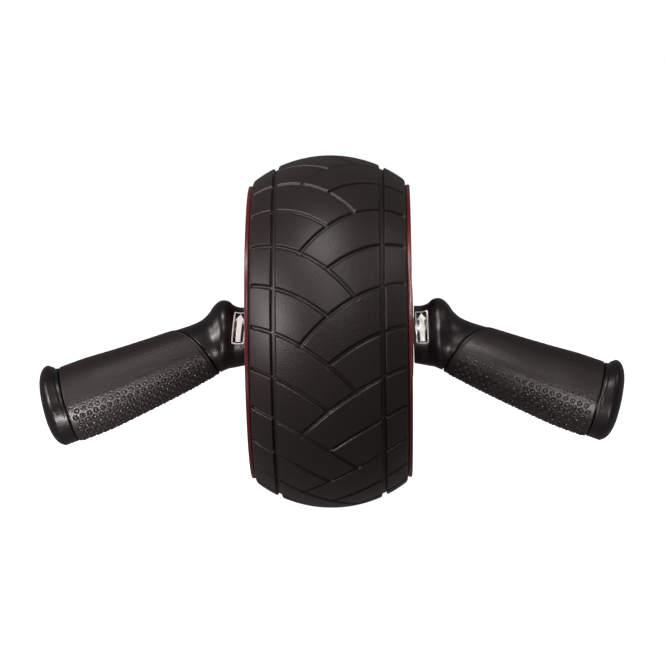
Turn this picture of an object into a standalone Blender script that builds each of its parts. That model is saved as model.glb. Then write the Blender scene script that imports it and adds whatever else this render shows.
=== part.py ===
"""A spring-assisted ab roller: a wide crowned wheel between two drooping handles.

+X runs along the axle to the right-hand handle, +Z is up and -Y faces forward. The origin lies on
the floor under the middle of the wheel, and every piece is modelled round the axle.
"""

import math

import bmesh
import bpy
from mathutils import Matrix, Vector

MM = 0.001

# Clearances
GAP = 0.3 * MM  # between pieces that rest on each other
ROUND_GAP = 0.4 * MM  # between a round bore and what it holds or turns on
CORE_GAP = 0.5 * MM  # between an arm's core and the grip and cap round it
SEAM_GAP = 0.7 * MM  # groove round the grip's two ends
SIDE_GAP = 0.7 * MM  # between the turning hub and a handle

# Wheel and tread
WHEEL_RADIUS = 100.0 * MM
TREAD_WIDTH = 85.6 * MM
CROWN_RADIUS = 70.0 * MM
FLAT_BAND = 16.0 * MM  # the middle of the crown, which the wheel stands on
SHOULDER = 2.5 * MM  # uncut edge at each side of the tread
TREAD_THICKNESS = 7.0 * MM
WHEEL_SIDES = 36

# Tread grooves
RING_GROOVE_OFFSET = 29.5 * MM  # from the middle plane
RING_GROOVE_WIDTH = 2.8 * MM
RING_GROOVE_DEPTH = 1.8 * MM
CROSS_GROOVE_WIDTH = 2.3 * MM
CROSS_GROOVE_DEPTH = 1.2 * MM
CROSS_DEPTH_STEP = 0.1 * MM  # each set is a hair deeper, so that no two floors share a plane
CROSS_SWEEP_RADIUS = 105.0 * MM
CROSS_SWEEP_CENTRE = 68.0 * MM
PATTERN_REPEATS = 12
PATTERN_TURN = 3.6  # degrees that the whole pattern is turned up at the front

# Hub
HUB_WALL = 3.0 * MM
RIM_FLANGE_RADIUS = 83.0 * MM
RIM_FLANGE_THICKNESS = 2.2 * MM
RIM_LAND = 6.0 * MM  # flat band inside the rim's edge
DISC_DISH = 2.0 * MM  # depth of the disc's dish below that band
DISH_WALL_RUN = 4.0 * MM
CENTRE_RISE = 1.2 * MM  # the centre boss above that band
CENTRE_RADIUS = 26.0 * MM
BUSH_BOSS_RADIUS = 17.0 * MM
BUSH_LENGTH = 16.0 * MM
BUSH_WALL = 2.6 * MM
BUSH_FLANGE_RADIUS = 13.0 * MM
BUSH_FLANGE_THICKNESS = 1.5 * MM
SCREW_CIRCLE_RADIUS = 58.0 * MM
SCREW_COUNT = 4
SCREW_RADIUS = 2.0 * MM
SCREW_HEAD_RADIUS = 3.8 * MM
SCREW_HEAD_HEIGHT = 2.6 * MM
SCREW_THREAD_LENGTH = 12.0 * MM
SCREW_BOSS_RADIUS = 5.6 * MM

# Axle
SHAFT_RADIUS = 7.5 * MM
SHAFT_FLAT = 11.0 * MM  # across the two flats at each end
SHAFT_GRIP_LENGTH = 20.0 * MM  # how far the shaft reaches into an arm
WASHER_RADIUS = 12.2 * MM
WASHER_THICKNESS = 1.0 * MM
CIRCLIP_RADIUS = 10.6 * MM
CIRCLIP_THICKNESS = 1.0 * MM
CIRCLIP_GROOVE_DEPTH = 1.0 * MM
CIRCLIP_OPENING = 70.0  # degrees
SPACER_WALL = 2.0 * MM
PIN_RADIUS = 2.0 * MM

# Spring
SPRING_TURNS = 6
SPRING_WIDTH = 20.0 * MM
SPRING_THICKNESS = 1.2 * MM
SPRING_SIDE_GAP = 1.0 * MM
SPRING_TONGUE = 2.7 * MM  # how deep it reaches into the arbor
EYE_STEP = 40.0  # degrees of each straight stretch of the eye round the anchor
EYE_STRETCHES = 7
ARBOR_RADIUS = 13.0 * MM
CASE_INNER_RADIUS = 46.0 * MM
CASE_WALL = 1.8 * MM
CASE_HOLE_GAP = 1.6 * MM  # round the arbor, which runs through case and cover
ANCHOR_RADIUS = 2.0 * MM
ANCHOR_INSET = 5.2 * MM  # from the case wall to the anchor's centre
EAR_WIDTH = 12.0 * MM

# Handle neck, from the hub side outwards
NECK_RISE = 14.3 * MM  # above the axle
NECK_DROP = 18.5 * MM  # below the axle
NECK_DEPTH = 31.0 * MM  # front to back
STOP_RISE = 18.5 * MM  # top of the thumb stop above the axle
STOP_OFFSET = 13.3 * MM  # from the neck's inner face to the top of the stop
STOP_WIDTH = 9.0 * MM  # from the neck's top line out to that point
STOP_SWELL = 3.0 * MM  # how much deeper, front to back, the neck is under the top of the stop

# Outline of the neck: the stop's inner flank as (share of its width, of its rise, of its swell),
# its outer flank as (share of the way to the grip, of the height still to go, of the swell)
STOP_CLIMB = ((0.0, 0.0, 0.0), (0.4, 0.3, 0.0), (0.67, 0.8, 0.45), (1.0, 1.0, 1.0))
STOP_FALL = ((0.09, 0.965, 0.95), (0.185, 0.82, 0.3), (0.28, 0.58, -0.2), (0.4, 0.385, -0.25),
             (0.57, 0.24, -0.15), (0.78, 0.115, 0.0))
UNDERSIDE_LAG = 0.86  # sections fan out: the low point of one lies this share as far out as its top
UNDERSIDE_FALL = 0.42  # slope of the underside near the hub, as a share of its mean slope
UNDERSIDE_CURVE = 1.1

# Grip and butt
GRIP_START_OFFSET = 39.1 * MM  # from the neck's inner face to the start of the straight grip
GRIP_START_DROP = 15.5 * MM  # grip axis below the axle there
GRIP_LENGTH = 67.2 * MM
GRIP_INNER_DIAMETER = 34.4 * MM
GRIP_OUTER_DIAMETER = 43.0 * MM
GRIP_TAPER_SHARE = 0.8  # the grip reaches its outer diameter here along its length
GRIP_SLOPE_START = 22.8  # degrees below level
GRIP_SLOPE_END = 19.4
GRIP_RUBBER = 3.0 * MM
GRIP_PROUD = 0.4 * MM
GRIP_LOW_EDGE = 16.1 * MM  # inner edge under the arm, from the neck's inner face
GRIP_EDGE_REACH = 29.0 * MM  # how much further out that edge lies on top
GRIP_EDGE_POWER = 1.88
GRIP_EDGE_ROUNDING = 6.0  # degrees at the top of the arch
BUTT_RIM = 7.8 * MM  # waist to rim, along the middle of the butt
BUTT_RIM_DIAMETER = 45.6 * MM
BUTT_SLOPE = 1.5  # degrees below level, where the butt turns up from the grip's line
BUTT_TILT = 11.5  # degrees between the end face and a vertical plane
BUTT_FLARE = 0.3  # share of its growth that the butt has halfway to the rim
BUTT_END_DEPTH = 7.4 * MM  # how far the rounded end stands out from the rim
BUTT_END_ROUNDING = 14.0 * MM  # how far its rounding reaches in from the rim
BUTT_FOOT_SLOPE = 25.0  # degrees above level: a flat that cuts the rounding under the end
CAP_LAP = 8.0 * MM  # how far the arm's core reaches into the cap
CAP_JOINT_OUT = 0.7 * MM  # from the waist to the joint between grip and cap, on the axis
CAP_JOINT_LEAN = 5.6 * MM  # how much further out the joint lies on top than on the axis
CAP_JOINT_BOW = 0.2 * MM  # and at the front and back
CORE_RINGS = (0.06, 0.36, 0.66, 0.95)  # sections of the core, as shares of the way under the grip
ROUNDNESS = 0.94  # depth of a grip section over its height

# Arrow label
LABEL_WIDTH = 7.4 * MM
LABEL_INSET = 0.6 * MM  # from the neck's inner face
LABEL_TOP = 51.0  # degrees up the neck from its front line
LABEL_BOTTOM = -21.0
LABEL_THICKNESS = 0.3 * MM

# Places along the axle that follow from the sizes above
TREAD_SIDE = TREAD_WIDTH / 2
FLANGE_INNER = TREAD_SIDE + GAP
FLANGE_OUTER = FLANGE_INNER + RIM_FLANGE_THICKNESS
HUB_FACE = FLANGE_OUTER + CENTRE_RISE
DISH_FLOOR = FLANGE_OUTER - DISC_DISH
ARM_FACE = HUB_FACE + SIDE_GAP
CIRCLIP_OUTER = HUB_FACE - GAP
WASHER_OUTER = CIRCLIP_OUTER - CIRCLIP_THICKNESS - GAP
BUSH_OUTER = WASHER_OUTER - WASHER_THICKNESS - GAP
BUSH_SEAT = BUSH_OUTER - BUSH_FLANGE_THICKNESS - GAP
BUSH_INNER = BUSH_SEAT - BUSH_LENGTH
SHAFT_END = ARM_FACE + SHAFT_GRIP_LENGTH
BUSH_BORE = SHAFT_RADIUS + ROUND_GAP
BUSH_RADIUS = BUSH_BORE + BUSH_WALL
CASE_RADIUS = CASE_INNER_RADIUS + CASE_WALL
CASE_HALF = SPRING_WIDTH / 2 + SPRING_SIDE_GAP
EAR_LOW = CASE_HALF - CASE_WALL
COVER_INNER = CASE_HALF + GAP
COVER_OUTER = COVER_INNER + CASE_WALL
ANCHOR_CENTRE = CASE_INNER_RADIUS - ANCHOR_INSET
ARM_PIN_OFFSET = SHAFT_GRIP_LENGTH / 2
PATTERN_PITCH = 2 * math.pi * WHEEL_RADIUS / PATTERN_REPEATS

HANDLE_SIDES = 20
SHAFT_SIDES = 16
CASE_SIDES = 24
SPRING_STEPS = 12  # for each turn
SMALL_SIDES = 8
WAIST_STATION = 15  # the handle's section where the grip's length ends and the butt begins
RIM_STATION = 17
END_ANGLES = (25, 52, 90)  # degrees of the rounding from rim to end face where it has sections


# Scene and helpers


def clear_scene():
    for obj in list(bpy.data.objects):
        bpy.data.objects.remove(obj)


def new_collection(name):
    collection = bpy.data.collections.new(name)
    bpy.context.scene.collection.children.link(collection)
    return collection


def new_axis(name):
    """An empty on the axle, which the pieces of one body hang from."""
    axis = bpy.data.objects.new(name, None)
    axis.location = (0, 0, WHEEL_RADIUS)
    parts.objects.link(axis)
    return axis


def material(name, colour, roughness, metallic=0.0):
    made = bpy.data.materials.new(name)
    made.use_nodes = True
    shader = made.node_tree.nodes["Principled BSDF"]
    shader.inputs["Base Color"].default_value = (*colour, 1)
    shader.inputs["Roughness"].default_value = roughness
    shader.inputs["Metallic"].default_value = metallic
    return made


def place(mesh, name, axis, finish, smooth=40.0):
    """Makes an object of the mesh: a part with a finish, or a cutter without one."""
    obj = bpy.data.objects.new(name, mesh)
    obj.parent = axis
    if finish is None:
        cutters.objects.link(obj)
        obj.hide_render = True
        obj.display_type = "WIRE"
        return obj
    parts.objects.link(obj)
    mesh.materials.append(finish)
    mesh.shade_smooth()
    mesh.set_sharp_from_angle(angle=math.radians(smooth))
    return obj


def mesh_of(bm, name):
    bmesh.ops.recalc_face_normals(bm, faces=bm.faces)
    mesh = bpy.data.meshes.new(name)
    bm.to_mesh(mesh)
    bm.free()
    return mesh


def add_loft(bm, rings, closed=False):
    """Joins rings of equally many points with faces; the ends are capped unless they meet."""
    rows = [[bm.verts.new(point) for point in ring] for ring in rings]
    pairs = list(zip(rows, rows[1:]))
    if closed:
        pairs.append((rows[-1], rows[0]))
    for first, second in pairs:
        for i in range(len(first)):
            j = (i + 1) % len(first)
            bm.faces.new((first[i], first[j], second[j], second[i]))
    if not closed:
        bm.faces.new(rows[0][::-1])
        bm.faces.new(rows[-1])


def loft(name, rings, axis, finish, closed=False):
    bm = bmesh.new()
    add_loft(bm, rings, closed)
    return place(mesh_of(bm, name), name, axis, finish)


def turned(name, profile, axis, finish, sides, side=1, phase=0.0):
    """Spins a closed outline of (place along the axle, radius) round the axle; side -1 mirrors it."""
    angle = phase * 2 * math.pi / sides
    points = [(r * math.cos(angle), r * math.sin(angle), side * x) for x, r in profile]
    ends = points[1:] + points[:1]
    spin = sum(a[0] * b[2] - b[0] * a[2] for a, b in zip(points, ends))
    if spin > 0:
        points.reverse()
    bm = bmesh.new()
    verts = [bm.verts.new(point) for point in points]
    for first, second in zip(verts, verts[1:] + verts[:1]):
        bm.edges.new((first, second))
    mesh = bpy.data.meshes.new(name)
    bm.to_mesh(mesh)
    bm.free()
    obj = place(mesh, name, axis, finish)
    obj.rotation_euler = (0, math.pi / 2, 0)
    screw = obj.modifiers.new("Turn", "SCREW")
    screw.steps = screw.render_steps = sides
    screw.use_merge_vertices = True
    screw.merge_threshold = 0.00001
    screw.use_smooth_shade = False
    return obj


def rod(name, start, end, radius, axis, finish, sides=SMALL_SIDES):
    """A plain round pin or a round cutter between two points."""
    start, end = Vector(start), Vector(end)
    turn = (end - start).to_track_quat("Z", "Y").to_matrix().to_4x4()
    spot = Matrix.Translation((start + end) / 2) @ turn
    bm = bmesh.new()
    bmesh.ops.create_cone(
        bm, cap_ends=True, segments=sides, radius1=radius, radius2=radius,
        depth=(end - start).length, matrix=spot,
    )
    return place(mesh_of(bm, name), name, axis, finish)


def block(name, low, high, axis):
    """A box-shaped cutter between two corners."""
    low, high = Vector(low), Vector(high)
    size = high - low
    bm = bmesh.new()
    spot = Matrix.Translation((low + high) / 2) @ Matrix.Diagonal((*size, 1))
    bmesh.ops.create_cube(bm, size=1, matrix=spot)
    return place(mesh_of(bm, name), name, axis, None)


def boolean(obj, other, operation="DIFFERENCE"):
    step = obj.modifiers.new(f"{operation.title()} {other.name}", "BOOLEAN")
    step.operation = operation
    step.object = other
    step.solver = "EXACT"


def around(x, radius, angle):
    """A point on the wheel: the angle runs from the front, upwards."""
    return Vector((x, -radius * math.cos(angle), radius * math.sin(angle)))


# Wheel


def crown(x):
    """The tread's outer radius at a distance from the middle plane."""
    x = abs(x)
    if x <= FLAT_BAND / 2 + MM / 10:
        return WHEEL_RADIUS
    return WHEEL_RADIUS - (CROWN_RADIUS - math.sqrt(CROWN_RADIUS**2 - x**2))


def flats_out(radius):
    """Moves a corner of the many-sided wheel out, so that its flats lie at the radius."""
    return radius / math.cos(math.pi / WHEEL_SIDES)


def crown_places():
    """Where the outer surface bends, from the middle to the shoulder."""
    inner = RING_GROOVE_OFFSET - RING_GROOVE_WIDTH / 2
    outer = RING_GROOVE_OFFSET + RING_GROOVE_WIDTH / 2
    middle = (FLAT_BAND / 2 + inner) / 2
    return [FLAT_BAND / 2, middle, inner, outer, TREAD_SIDE - SHOULDER]


def make_tread():
    half = []
    flat, middle, inner, outer, edge = crown_places()
    for x in (flat, middle, inner):
        half.append((x, crown(x)))
    half.append((inner, crown(inner) - RING_GROOVE_DEPTH))
    half.append((outer, crown(outer) - RING_GROOVE_DEPTH))
    half.append((outer, crown(outer)))
    half.append((edge, crown(edge)))
    half.append((TREAD_SIDE, crown(edge) - SHOULDER))
    half.append((TREAD_SIDE, crown(TREAD_SIDE) - TREAD_THICKNESS))
    half.append((outer, crown(outer) - TREAD_THICKNESS))
    half.append((flat, crown(flat) - TREAD_THICKNESS))
    outline = half + [(-x, r) for x, r in reversed(half)]
    outline = [(x, flats_out(r)) for x, r in outline]
    tread = turned("tread", outline, wheel_axis, rubber, WHEEL_SIDES, phase=0.5)
    for number, (side, short) in enumerate(((1, False), (-1, False), (1, True), (-1, True))):
        depth = CROSS_GROOVE_DEPTH + number * CROSS_DEPTH_STEP
        boolean(tread, groove_cutters(f"cross_grooves_{number}", side, short, depth))


def sweep(x):
    """How far up the tread a cross groove lies at x, counted from where it meets a ring groove."""
    def drop(place):
        return math.sqrt(CROSS_SWEEP_RADIUS**2 - (place + CROSS_SWEEP_CENTRE) ** 2)

    return drop(x) - drop(-RING_GROOVE_OFFSET)


def meeting_place():
    """Where a long groove runs into the one that comes from the other side."""
    low, high = 0.0, CROSS_SWEEP_RADIUS - CROSS_SWEEP_CENTRE - MM
    for _ in range(40):
        x = (low + high) / 2
        if sweep(x) - sweep(-x) > -PATTERN_PITCH / 2:
            low = x
        else:
            high = x
    return x


def faceted_crown(x):
    """The radius of the tread's facets, which run straight between the places of its outline."""
    places = [0.0] + crown_places()
    x = min(abs(x), places[-1])
    for low, high in zip(places, places[1:]):
        if x <= high:
            return crown(low) + (crown(high) - crown(low)) * (x - low) / (high - low)
    return crown(x)


def groove_cutters(name, side, short, depth):
    """One set of cross grooves as a chain of boxes each, wrapped round the crown."""
    start = SHOULDER - TREAD_SIDE + GAP
    end = CROSS_GROOVE_WIDTH / 4 if short else meeting_place()
    spans = 3 if short else 5
    first = math.radians(PATTERN_TURN) * WHEEL_RADIUS
    if short == (side > 0):
        first += PATTERN_PITCH / 2
    bm = bmesh.new()
    for repeat in range(PATTERN_REPEATS):
        rings = []
        for k in range(spans + 1):
            x = start + (end - start) * k / spans
            slope = (sweep(x + MM / 10) - sweep(x - MM / 10)) / (MM / 5)
            long = CROSS_GROOVE_WIDTH / 2 * math.hypot(1, slope)
            up = sweep(x) + first + repeat * PATTERN_PITCH
            surface = flats_out(faceted_crown(x))
            ring = []
            for offset, radius in (
                (-long, surface - depth), (long, surface - depth),
                (long, surface + depth), (-long, surface + depth),
            ):
                ring.append(around(side * x, radius, (up + offset) / WHEEL_RADIUS))
            rings.append(ring)
        add_loft(bm, rings)
    bmesh.ops.triangulate(bm, faces=bm.faces)  # a twisted side is then made of flat faces
    return place(mesh_of(bm, name), name, wheel_axis, None)


def hub_profile():
    """One hub half from the middle plane out, as a closed outline of (x, radius)."""
    under = TREAD_THICKNESS + GAP
    outer = crown_places()[3]
    flat = FLAT_BAND / 2
    joint = GAP / 2
    bush_bore = BUSH_RADIUS + ROUND_GAP
    recess = BUSH_FLANGE_RADIUS + ROUND_GAP
    wall_inner = FLANGE_INNER - HUB_WALL
    outline = [
        (joint, crown(0) - under),
        (flat, crown(flat) - under),
        (outer, crown(outer) - under),
        (FLANGE_INNER, crown(FLANGE_INNER) - under),
        (FLANGE_INNER, RIM_FLANGE_RADIUS),
        (FLANGE_OUTER, RIM_FLANGE_RADIUS),
        (FLANGE_OUTER, RIM_FLANGE_RADIUS - RIM_LAND),
        (DISH_FLOOR, RIM_FLANGE_RADIUS - RIM_LAND - DISH_WALL_RUN),
        (DISH_FLOOR, CENTRE_RADIUS + DISH_WALL_RUN),
        (HUB_FACE, CENTRE_RADIUS),
        (HUB_FACE, recess),
        (BUSH_SEAT, recess),
        (BUSH_SEAT, bush_bore),
        (BUSH_INNER, bush_bore),
        (BUSH_INNER, BUSH_BOSS_RADIUS),
        (wall_inner, BUSH_BOSS_RADIUS),
        (wall_inner, crown(wall_inner) - under - HUB_WALL),
        (outer, crown(outer) - under - HUB_WALL),
        (joint, crown(0) - under - HUB_WALL),
    ]
    return [(x, flats_out(r)) for x, r in outline]


def screw_places():
    for number in range(SCREW_COUNT):
        angle = (number + 0.5) * 2 * math.pi / SCREW_COUNT
        yield SCREW_CIRCLE_RADIUS * math.cos(angle), SCREW_CIRCLE_RADIUS * math.sin(angle)


def rod_rings(spans, y, z, sides=SMALL_SIDES):
    """A stepped round rod along the axle as rings, one for each (x, radius) of the spans."""
    turns = [2 * math.pi * (k + 0.5) / sides for k in range(sides)]
    return [[(x, y + r * math.cos(a), z + r * math.sin(a)) for a in turns] for x, r in spans]


def screw_cutters(name, spans):
    """The same stepped rod at each screw place, to join to a piece or cut from it."""
    bm = bmesh.new()
    for y, z in screw_places():
        add_loft(bm, rod_rings(spans, y, z))
    return place(mesh_of(bm, name), name, wheel_axis, None)


def make_hub_half(side):
    word = "right" if side > 0 else "left"
    half = turned(f"hub_half_{word}", hub_profile(), wheel_axis, red, WHEEL_SIDES, side, 0.5)
    wall = FLANGE_INNER - HUB_WALL / 2
    clear = SCREW_RADIUS + GAP
    head = SCREW_HEAD_RADIUS + GAP
    seat = screw_seat() - GAP
    if side > 0:
        boss = [(COVER_OUTER + GAP, SCREW_BOSS_RADIUS), (wall, SCREW_BOSS_RADIUS)]
        bore = [(COVER_INNER, clear), (seat, clear), (seat, head), (DISH_FLOOR + MM, head)]
    else:
        boss = [(-wall, SCREW_BOSS_RADIUS), (EAR_LOW - GAP, SCREW_BOSS_RADIUS)]
        bore = [(screw_tip() - GAP, clear), (EAR_LOW, clear)]
    boolean(half, screw_cutters(f"screw_bosses_{word}", boss), "UNION")
    boolean(half, screw_cutters(f"screw_bores_{word}", bore))


def screw_seat():
    """Under the screws' heads, which sit flush in the dish of the right half."""
    return DISH_FLOOR - SCREW_HEAD_HEIGHT - GAP


def screw_tip():
    """Where the screws end inside the left half's bosses."""
    return EAR_LOW - SCREW_THREAD_LENGTH


def make_hub_screws():
    spans = [(screw_tip(), SCREW_RADIUS), (screw_seat(), SCREW_RADIUS),
             (screw_seat(), SCREW_HEAD_RADIUS), (screw_seat() + SCREW_HEAD_HEIGHT, SCREW_HEAD_RADIUS)]
    for number, (y, z) in enumerate(screw_places(), 1):
        loft(f"hub_screw_{number}", rod_rings(spans, y, z), wheel_axis, steel)


def make_bush(side):
    word = "right" if side > 0 else "left"
    profile = [
        (BUSH_INNER, BUSH_BORE),
        (BUSH_INNER, BUSH_RADIUS),
        (BUSH_SEAT + GAP, BUSH_RADIUS),
        (BUSH_SEAT + GAP, BUSH_FLANGE_RADIUS),
        (BUSH_OUTER, BUSH_FLANGE_RADIUS),
        (BUSH_OUTER, BUSH_BORE),
    ]
    turned(f"bush_{word}", profile, wheel_axis, nylon, SHAFT_SIDES, side)


# Spring and its case


def make_spring_case():
    floor = -CASE_HALF
    hole = ARBOR_RADIUS + CASE_HOLE_GAP
    profile = [
        (CASE_HALF, CASE_INNER_RADIUS),
        (CASE_HALF, CASE_RADIUS),
        (floor - CASE_WALL, CASE_RADIUS),
        (floor - CASE_WALL, hole),
        (floor, hole),
        (floor, CASE_INNER_RADIUS),
    ]
    case = turned("spring_case", profile, wheel_axis, zinc, CASE_SIDES)
    add_ears(case, EAR_LOW, CASE_HALF)
    anchor_hole = rod("anchor_hole_case", (floor - CASE_WALL - MM, 0, -ANCHOR_CENTRE),
                      (floor + MM, 0, -ANCHOR_CENTRE), ANCHOR_RADIUS + GAP, wheel_axis, None)
    boolean(case, anchor_hole)


def make_spring_cover():
    hole = ARBOR_RADIUS + CASE_HOLE_GAP
    profile = [
        (COVER_INNER, hole),
        (COVER_INNER, CASE_RADIUS),
        (COVER_OUTER, CASE_RADIUS),
        (COVER_OUTER, hole),
    ]
    cover = turned("spring_cover", profile, wheel_axis, zinc, CASE_SIDES)
    add_ears(cover, COVER_INNER, COVER_OUTER)
    anchor_hole = rod("anchor_hole_cover", (COVER_INNER - GAP / 2, 0, -ANCHOR_CENTRE),
                      (COVER_OUTER + MM, 0, -ANCHOR_CENTRE), ANCHOR_RADIUS + GAP, wheel_axis, None)
    boolean(cover, anchor_hole)


def add_ears(obj, low, high):
    """Four ears with screw holes, clamped between the bosses of the two hub halves."""
    overlap = CASE_WALL / 2
    inset = (high - low) / 20
    bm = bmesh.new()
    for y, z in screw_places():
        angle = math.atan2(z, y)
        along = Vector((0, math.cos(angle), math.sin(angle)))
        across = Vector((0, -math.sin(angle), math.cos(angle)))
        start = along * (CASE_RADIUS - overlap)
        end = along * (SCREW_CIRCLE_RADIUS + EAR_WIDTH / 2)
        rings = []
        for x in (low + inset, high - inset):
            middle = Vector((x, 0, 0))
            half = across * EAR_WIDTH / 2
            rings.append([middle + start - half, middle + end - half / 2,
                          middle + end + half / 2, middle + start + half])
        add_loft(bm, rings)
    ears = place(mesh_of(bm, f"{obj.name}_ears"), f"{obj.name}_ears", wheel_axis, None)
    boolean(obj, ears, "UNION")
    clear = SCREW_RADIUS + GAP
    boolean(obj, screw_cutters(f"{obj.name}_ear_holes", [(low - MM, clear), (high + MM, clear)]))


def make_spring_anchor():
    rod("spring_anchor", (-CASE_HALF - CASE_WALL, 0, -ANCHOR_CENTRE),
        (COVER_OUTER, 0, -ANCHOR_CENTRE), ANCHOR_RADIUS, wheel_axis, steel)


def spiral_points():
    """The spring's centre line: tongue, turns, then the eye round the anchor, from below."""
    half = SPRING_THICKNESS / 2
    start = (ARBOR_RADIUS + GAP + half) / math.cos(math.pi / SPRING_STEPS)
    eye = (ANCHOR_RADIUS + GAP + half) / math.cos(math.radians(EYE_STEP / 2))
    end = ANCHOR_CENTRE - eye
    steps = SPRING_TURNS * SPRING_STEPS
    points = [(0.0, SPRING_TONGUE - ARBOR_RADIUS)]
    for i in range(steps + 1):
        turn = 2 * math.pi * SPRING_TURNS * i / steps
        radius = start + (end - start) * i / steps
        points.append((radius * math.sin(turn), -radius * math.cos(turn)))
    for i in range(EYE_STRETCHES):
        turn = math.radians(EYE_STEP * (i + 1))
        points.append((eye * math.sin(turn), -ANCHOR_CENTRE + eye * math.cos(turn)))
    return points


def make_spiral_spring():
    bm = bmesh.new()
    rows = []
    for y, z in spiral_points():
        rows.append([bm.verts.new((x, y, z)) for x in (-SPRING_WIDTH / 2, SPRING_WIDTH / 2)])
    for (a, b), (c, d) in zip(rows, rows[1:]):
        bm.faces.new((a, b, d, c))
    mesh = bpy.data.meshes.new("spiral_spring")
    bm.to_mesh(mesh)
    bm.free()
    spring = place(mesh, "spiral_spring", handle_axis, spring_steel)
    wall = spring.modifiers.new("Wall", "SOLIDIFY")
    wall.thickness = SPRING_THICKNESS
    wall.offset = 0
    wall.use_even_offset = True


def make_spring_arbor():
    bore = SHAFT_RADIUS + ROUND_GAP
    profile = [
        (-COVER_OUTER, bore),
        (-COVER_OUTER, ARBOR_RADIUS),
        (COVER_OUTER, ARBOR_RADIUS),
        (COVER_OUTER, bore),
    ]
    arbor = turned("spring_arbor", profile, handle_axis, steel, 2 * SMALL_SIDES, phase=0.5)
    wide = SPRING_THICKNESS / 2 + GAP
    deep = ARBOR_RADIUS - SPRING_TONGUE - GAP
    slot = block("tongue_slot", (-COVER_OUTER - MM, -wide, -ARBOR_RADIUS - MM),
                 (COVER_OUTER + MM, wide, -deep), handle_axis)
    boolean(arbor, slot)
    reach = ARBOR_RADIUS + MM
    hole = rod("arbor_pin_hole", (0, -reach, 0), (0, reach, 0), PIN_RADIUS + GAP, handle_axis, None)
    boolean(arbor, hole)
    pin = ARBOR_RADIUS - GAP
    rod("arbor_pin", (0, -pin, 0), (0, pin, 0), PIN_RADIUS, handle_axis, steel)


# Axle


def shaft_ring(x, radius, flat=None):
    """A round ring of the shaft, or one with two flats that face front and back."""
    ring = []
    spans = SHAFT_SIDES // 2 - 1
    edge = math.acos(SHAFT_FLAT / 2 / SHAFT_RADIUS)
    for start in (edge, math.pi + edge):
        for k in range(spans + 1):
            angle = start + (math.pi - 2 * edge) * k / spans
            y = radius * math.cos(angle)
            if flat is not None:
                y = max(-flat / 2, min(flat / 2, y))
            ring.append((x, y, radius * math.sin(angle)))
    return ring


def make_shaft():
    groove = SHAFT_RADIUS - CIRCLIP_GROOVE_DEPTH
    groove_inner = CIRCLIP_OUTER - CIRCLIP_THICKNESS - GAP
    groove_outer = CIRCLIP_OUTER + GAP
    half = [
        shaft_ring(groove_inner, SHAFT_RADIUS),
        shaft_ring(groove_inner, groove),
        shaft_ring(groove_outer, groove),
        shaft_ring(groove_outer, SHAFT_RADIUS),
        shaft_ring(ARM_FACE - GAP, SHAFT_RADIUS),
        shaft_ring(ARM_FACE - GAP, SHAFT_RADIUS, SHAFT_FLAT),
        shaft_ring(SHAFT_END, SHAFT_RADIUS, SHAFT_FLAT),
    ]
    other = [[(-x, y, z) for x, y, z in ring] for ring in reversed(half)]
    shaft = loft("axle_shaft", other + half, handle_axis, steel)
    reach = SHAFT_RADIUS + MM
    clear = PIN_RADIUS + GAP
    for name, x, way in (("left", -ARM_FACE - ARM_PIN_OFFSET, Vector((0, 0, 1))),
                         ("middle", 0.0, Vector((0, 1, 0))),
                         ("right", ARM_FACE + ARM_PIN_OFFSET, Vector((0, 0, 1)))):
        spot = Vector((x, 0, 0))
        hole = rod(f"shaft_hole_{name}", spot - reach * way, spot + reach * way, clear,
                   handle_axis, None)
        boolean(shaft, hole)


def make_spacer(side):
    word = "right" if side > 0 else "left"
    bore = SHAFT_RADIUS + ROUND_GAP
    inner, outer = COVER_OUTER + GAP, BUSH_INNER - GAP
    profile = [(inner, bore), (inner, bore + SPACER_WALL), (outer, bore + SPACER_WALL), (outer, bore)]
    turned(f"spacer_{word}", profile, handle_axis, nylon, SHAFT_SIDES, side)


def make_thrust_washer(side):
    word = "right" if side > 0 else "left"
    bore = SHAFT_RADIUS + ROUND_GAP
    inner = WASHER_OUTER - WASHER_THICKNESS
    profile = [(inner, bore), (inner, WASHER_RADIUS), (WASHER_OUTER, WASHER_RADIUS),
               (WASHER_OUTER, bore)]
    turned(f"thrust_washer_{word}", profile, handle_axis, steel, SHAFT_SIDES, side)


def make_circlip(side):
    """An open ring in the shaft's groove, its opening downwards."""
    word = "right" if side > 0 else "left"
    inner = SHAFT_RADIUS - CIRCLIP_GROOVE_DEPTH + ROUND_GAP
    steps = 10
    rings = []
    for k in range(steps + 1):
        angle = math.radians(-90 + CIRCLIP_OPENING / 2 + (360 - CIRCLIP_OPENING) * k / steps)
        low, high = side * (CIRCLIP_OUTER - CIRCLIP_THICKNESS), side * CIRCLIP_OUTER
        rings.append([around(low, inner, angle), around(low, CIRCLIP_RADIUS, angle),
                      around(high, CIRCLIP_RADIUS, angle), around(high, inner, angle)])
    loft(f"circlip_{word}", rings, handle_axis, steel)


# Handles


def grip_axis(length):
    """A point on the grip's gently curved axis, and its slope there, from its start at the neck."""
    steps = 12
    spot = Vector((ARM_FACE + GRIP_START_OFFSET, 0, -GRIP_START_DROP))
    for k in range(steps):
        share = (k + 0.5) / steps * length / GRIP_LENGTH
        slope = math.radians(GRIP_SLOPE_START + (GRIP_SLOPE_END - GRIP_SLOPE_START) * share)
        spot += Vector((math.cos(slope), 0, -math.sin(slope))) * length / steps
    share = length / GRIP_LENGTH
    return spot, GRIP_SLOPE_START + (GRIP_SLOPE_END - GRIP_SLOPE_START) * share


def station(centre, lean, height, depth):
    """A section: its centre, the vector to its top point and its half depth."""
    lean = math.radians(lean)
    return centre, Vector((math.sin(lean), 0, math.cos(lean))) * height / 2, depth / 2


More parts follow.
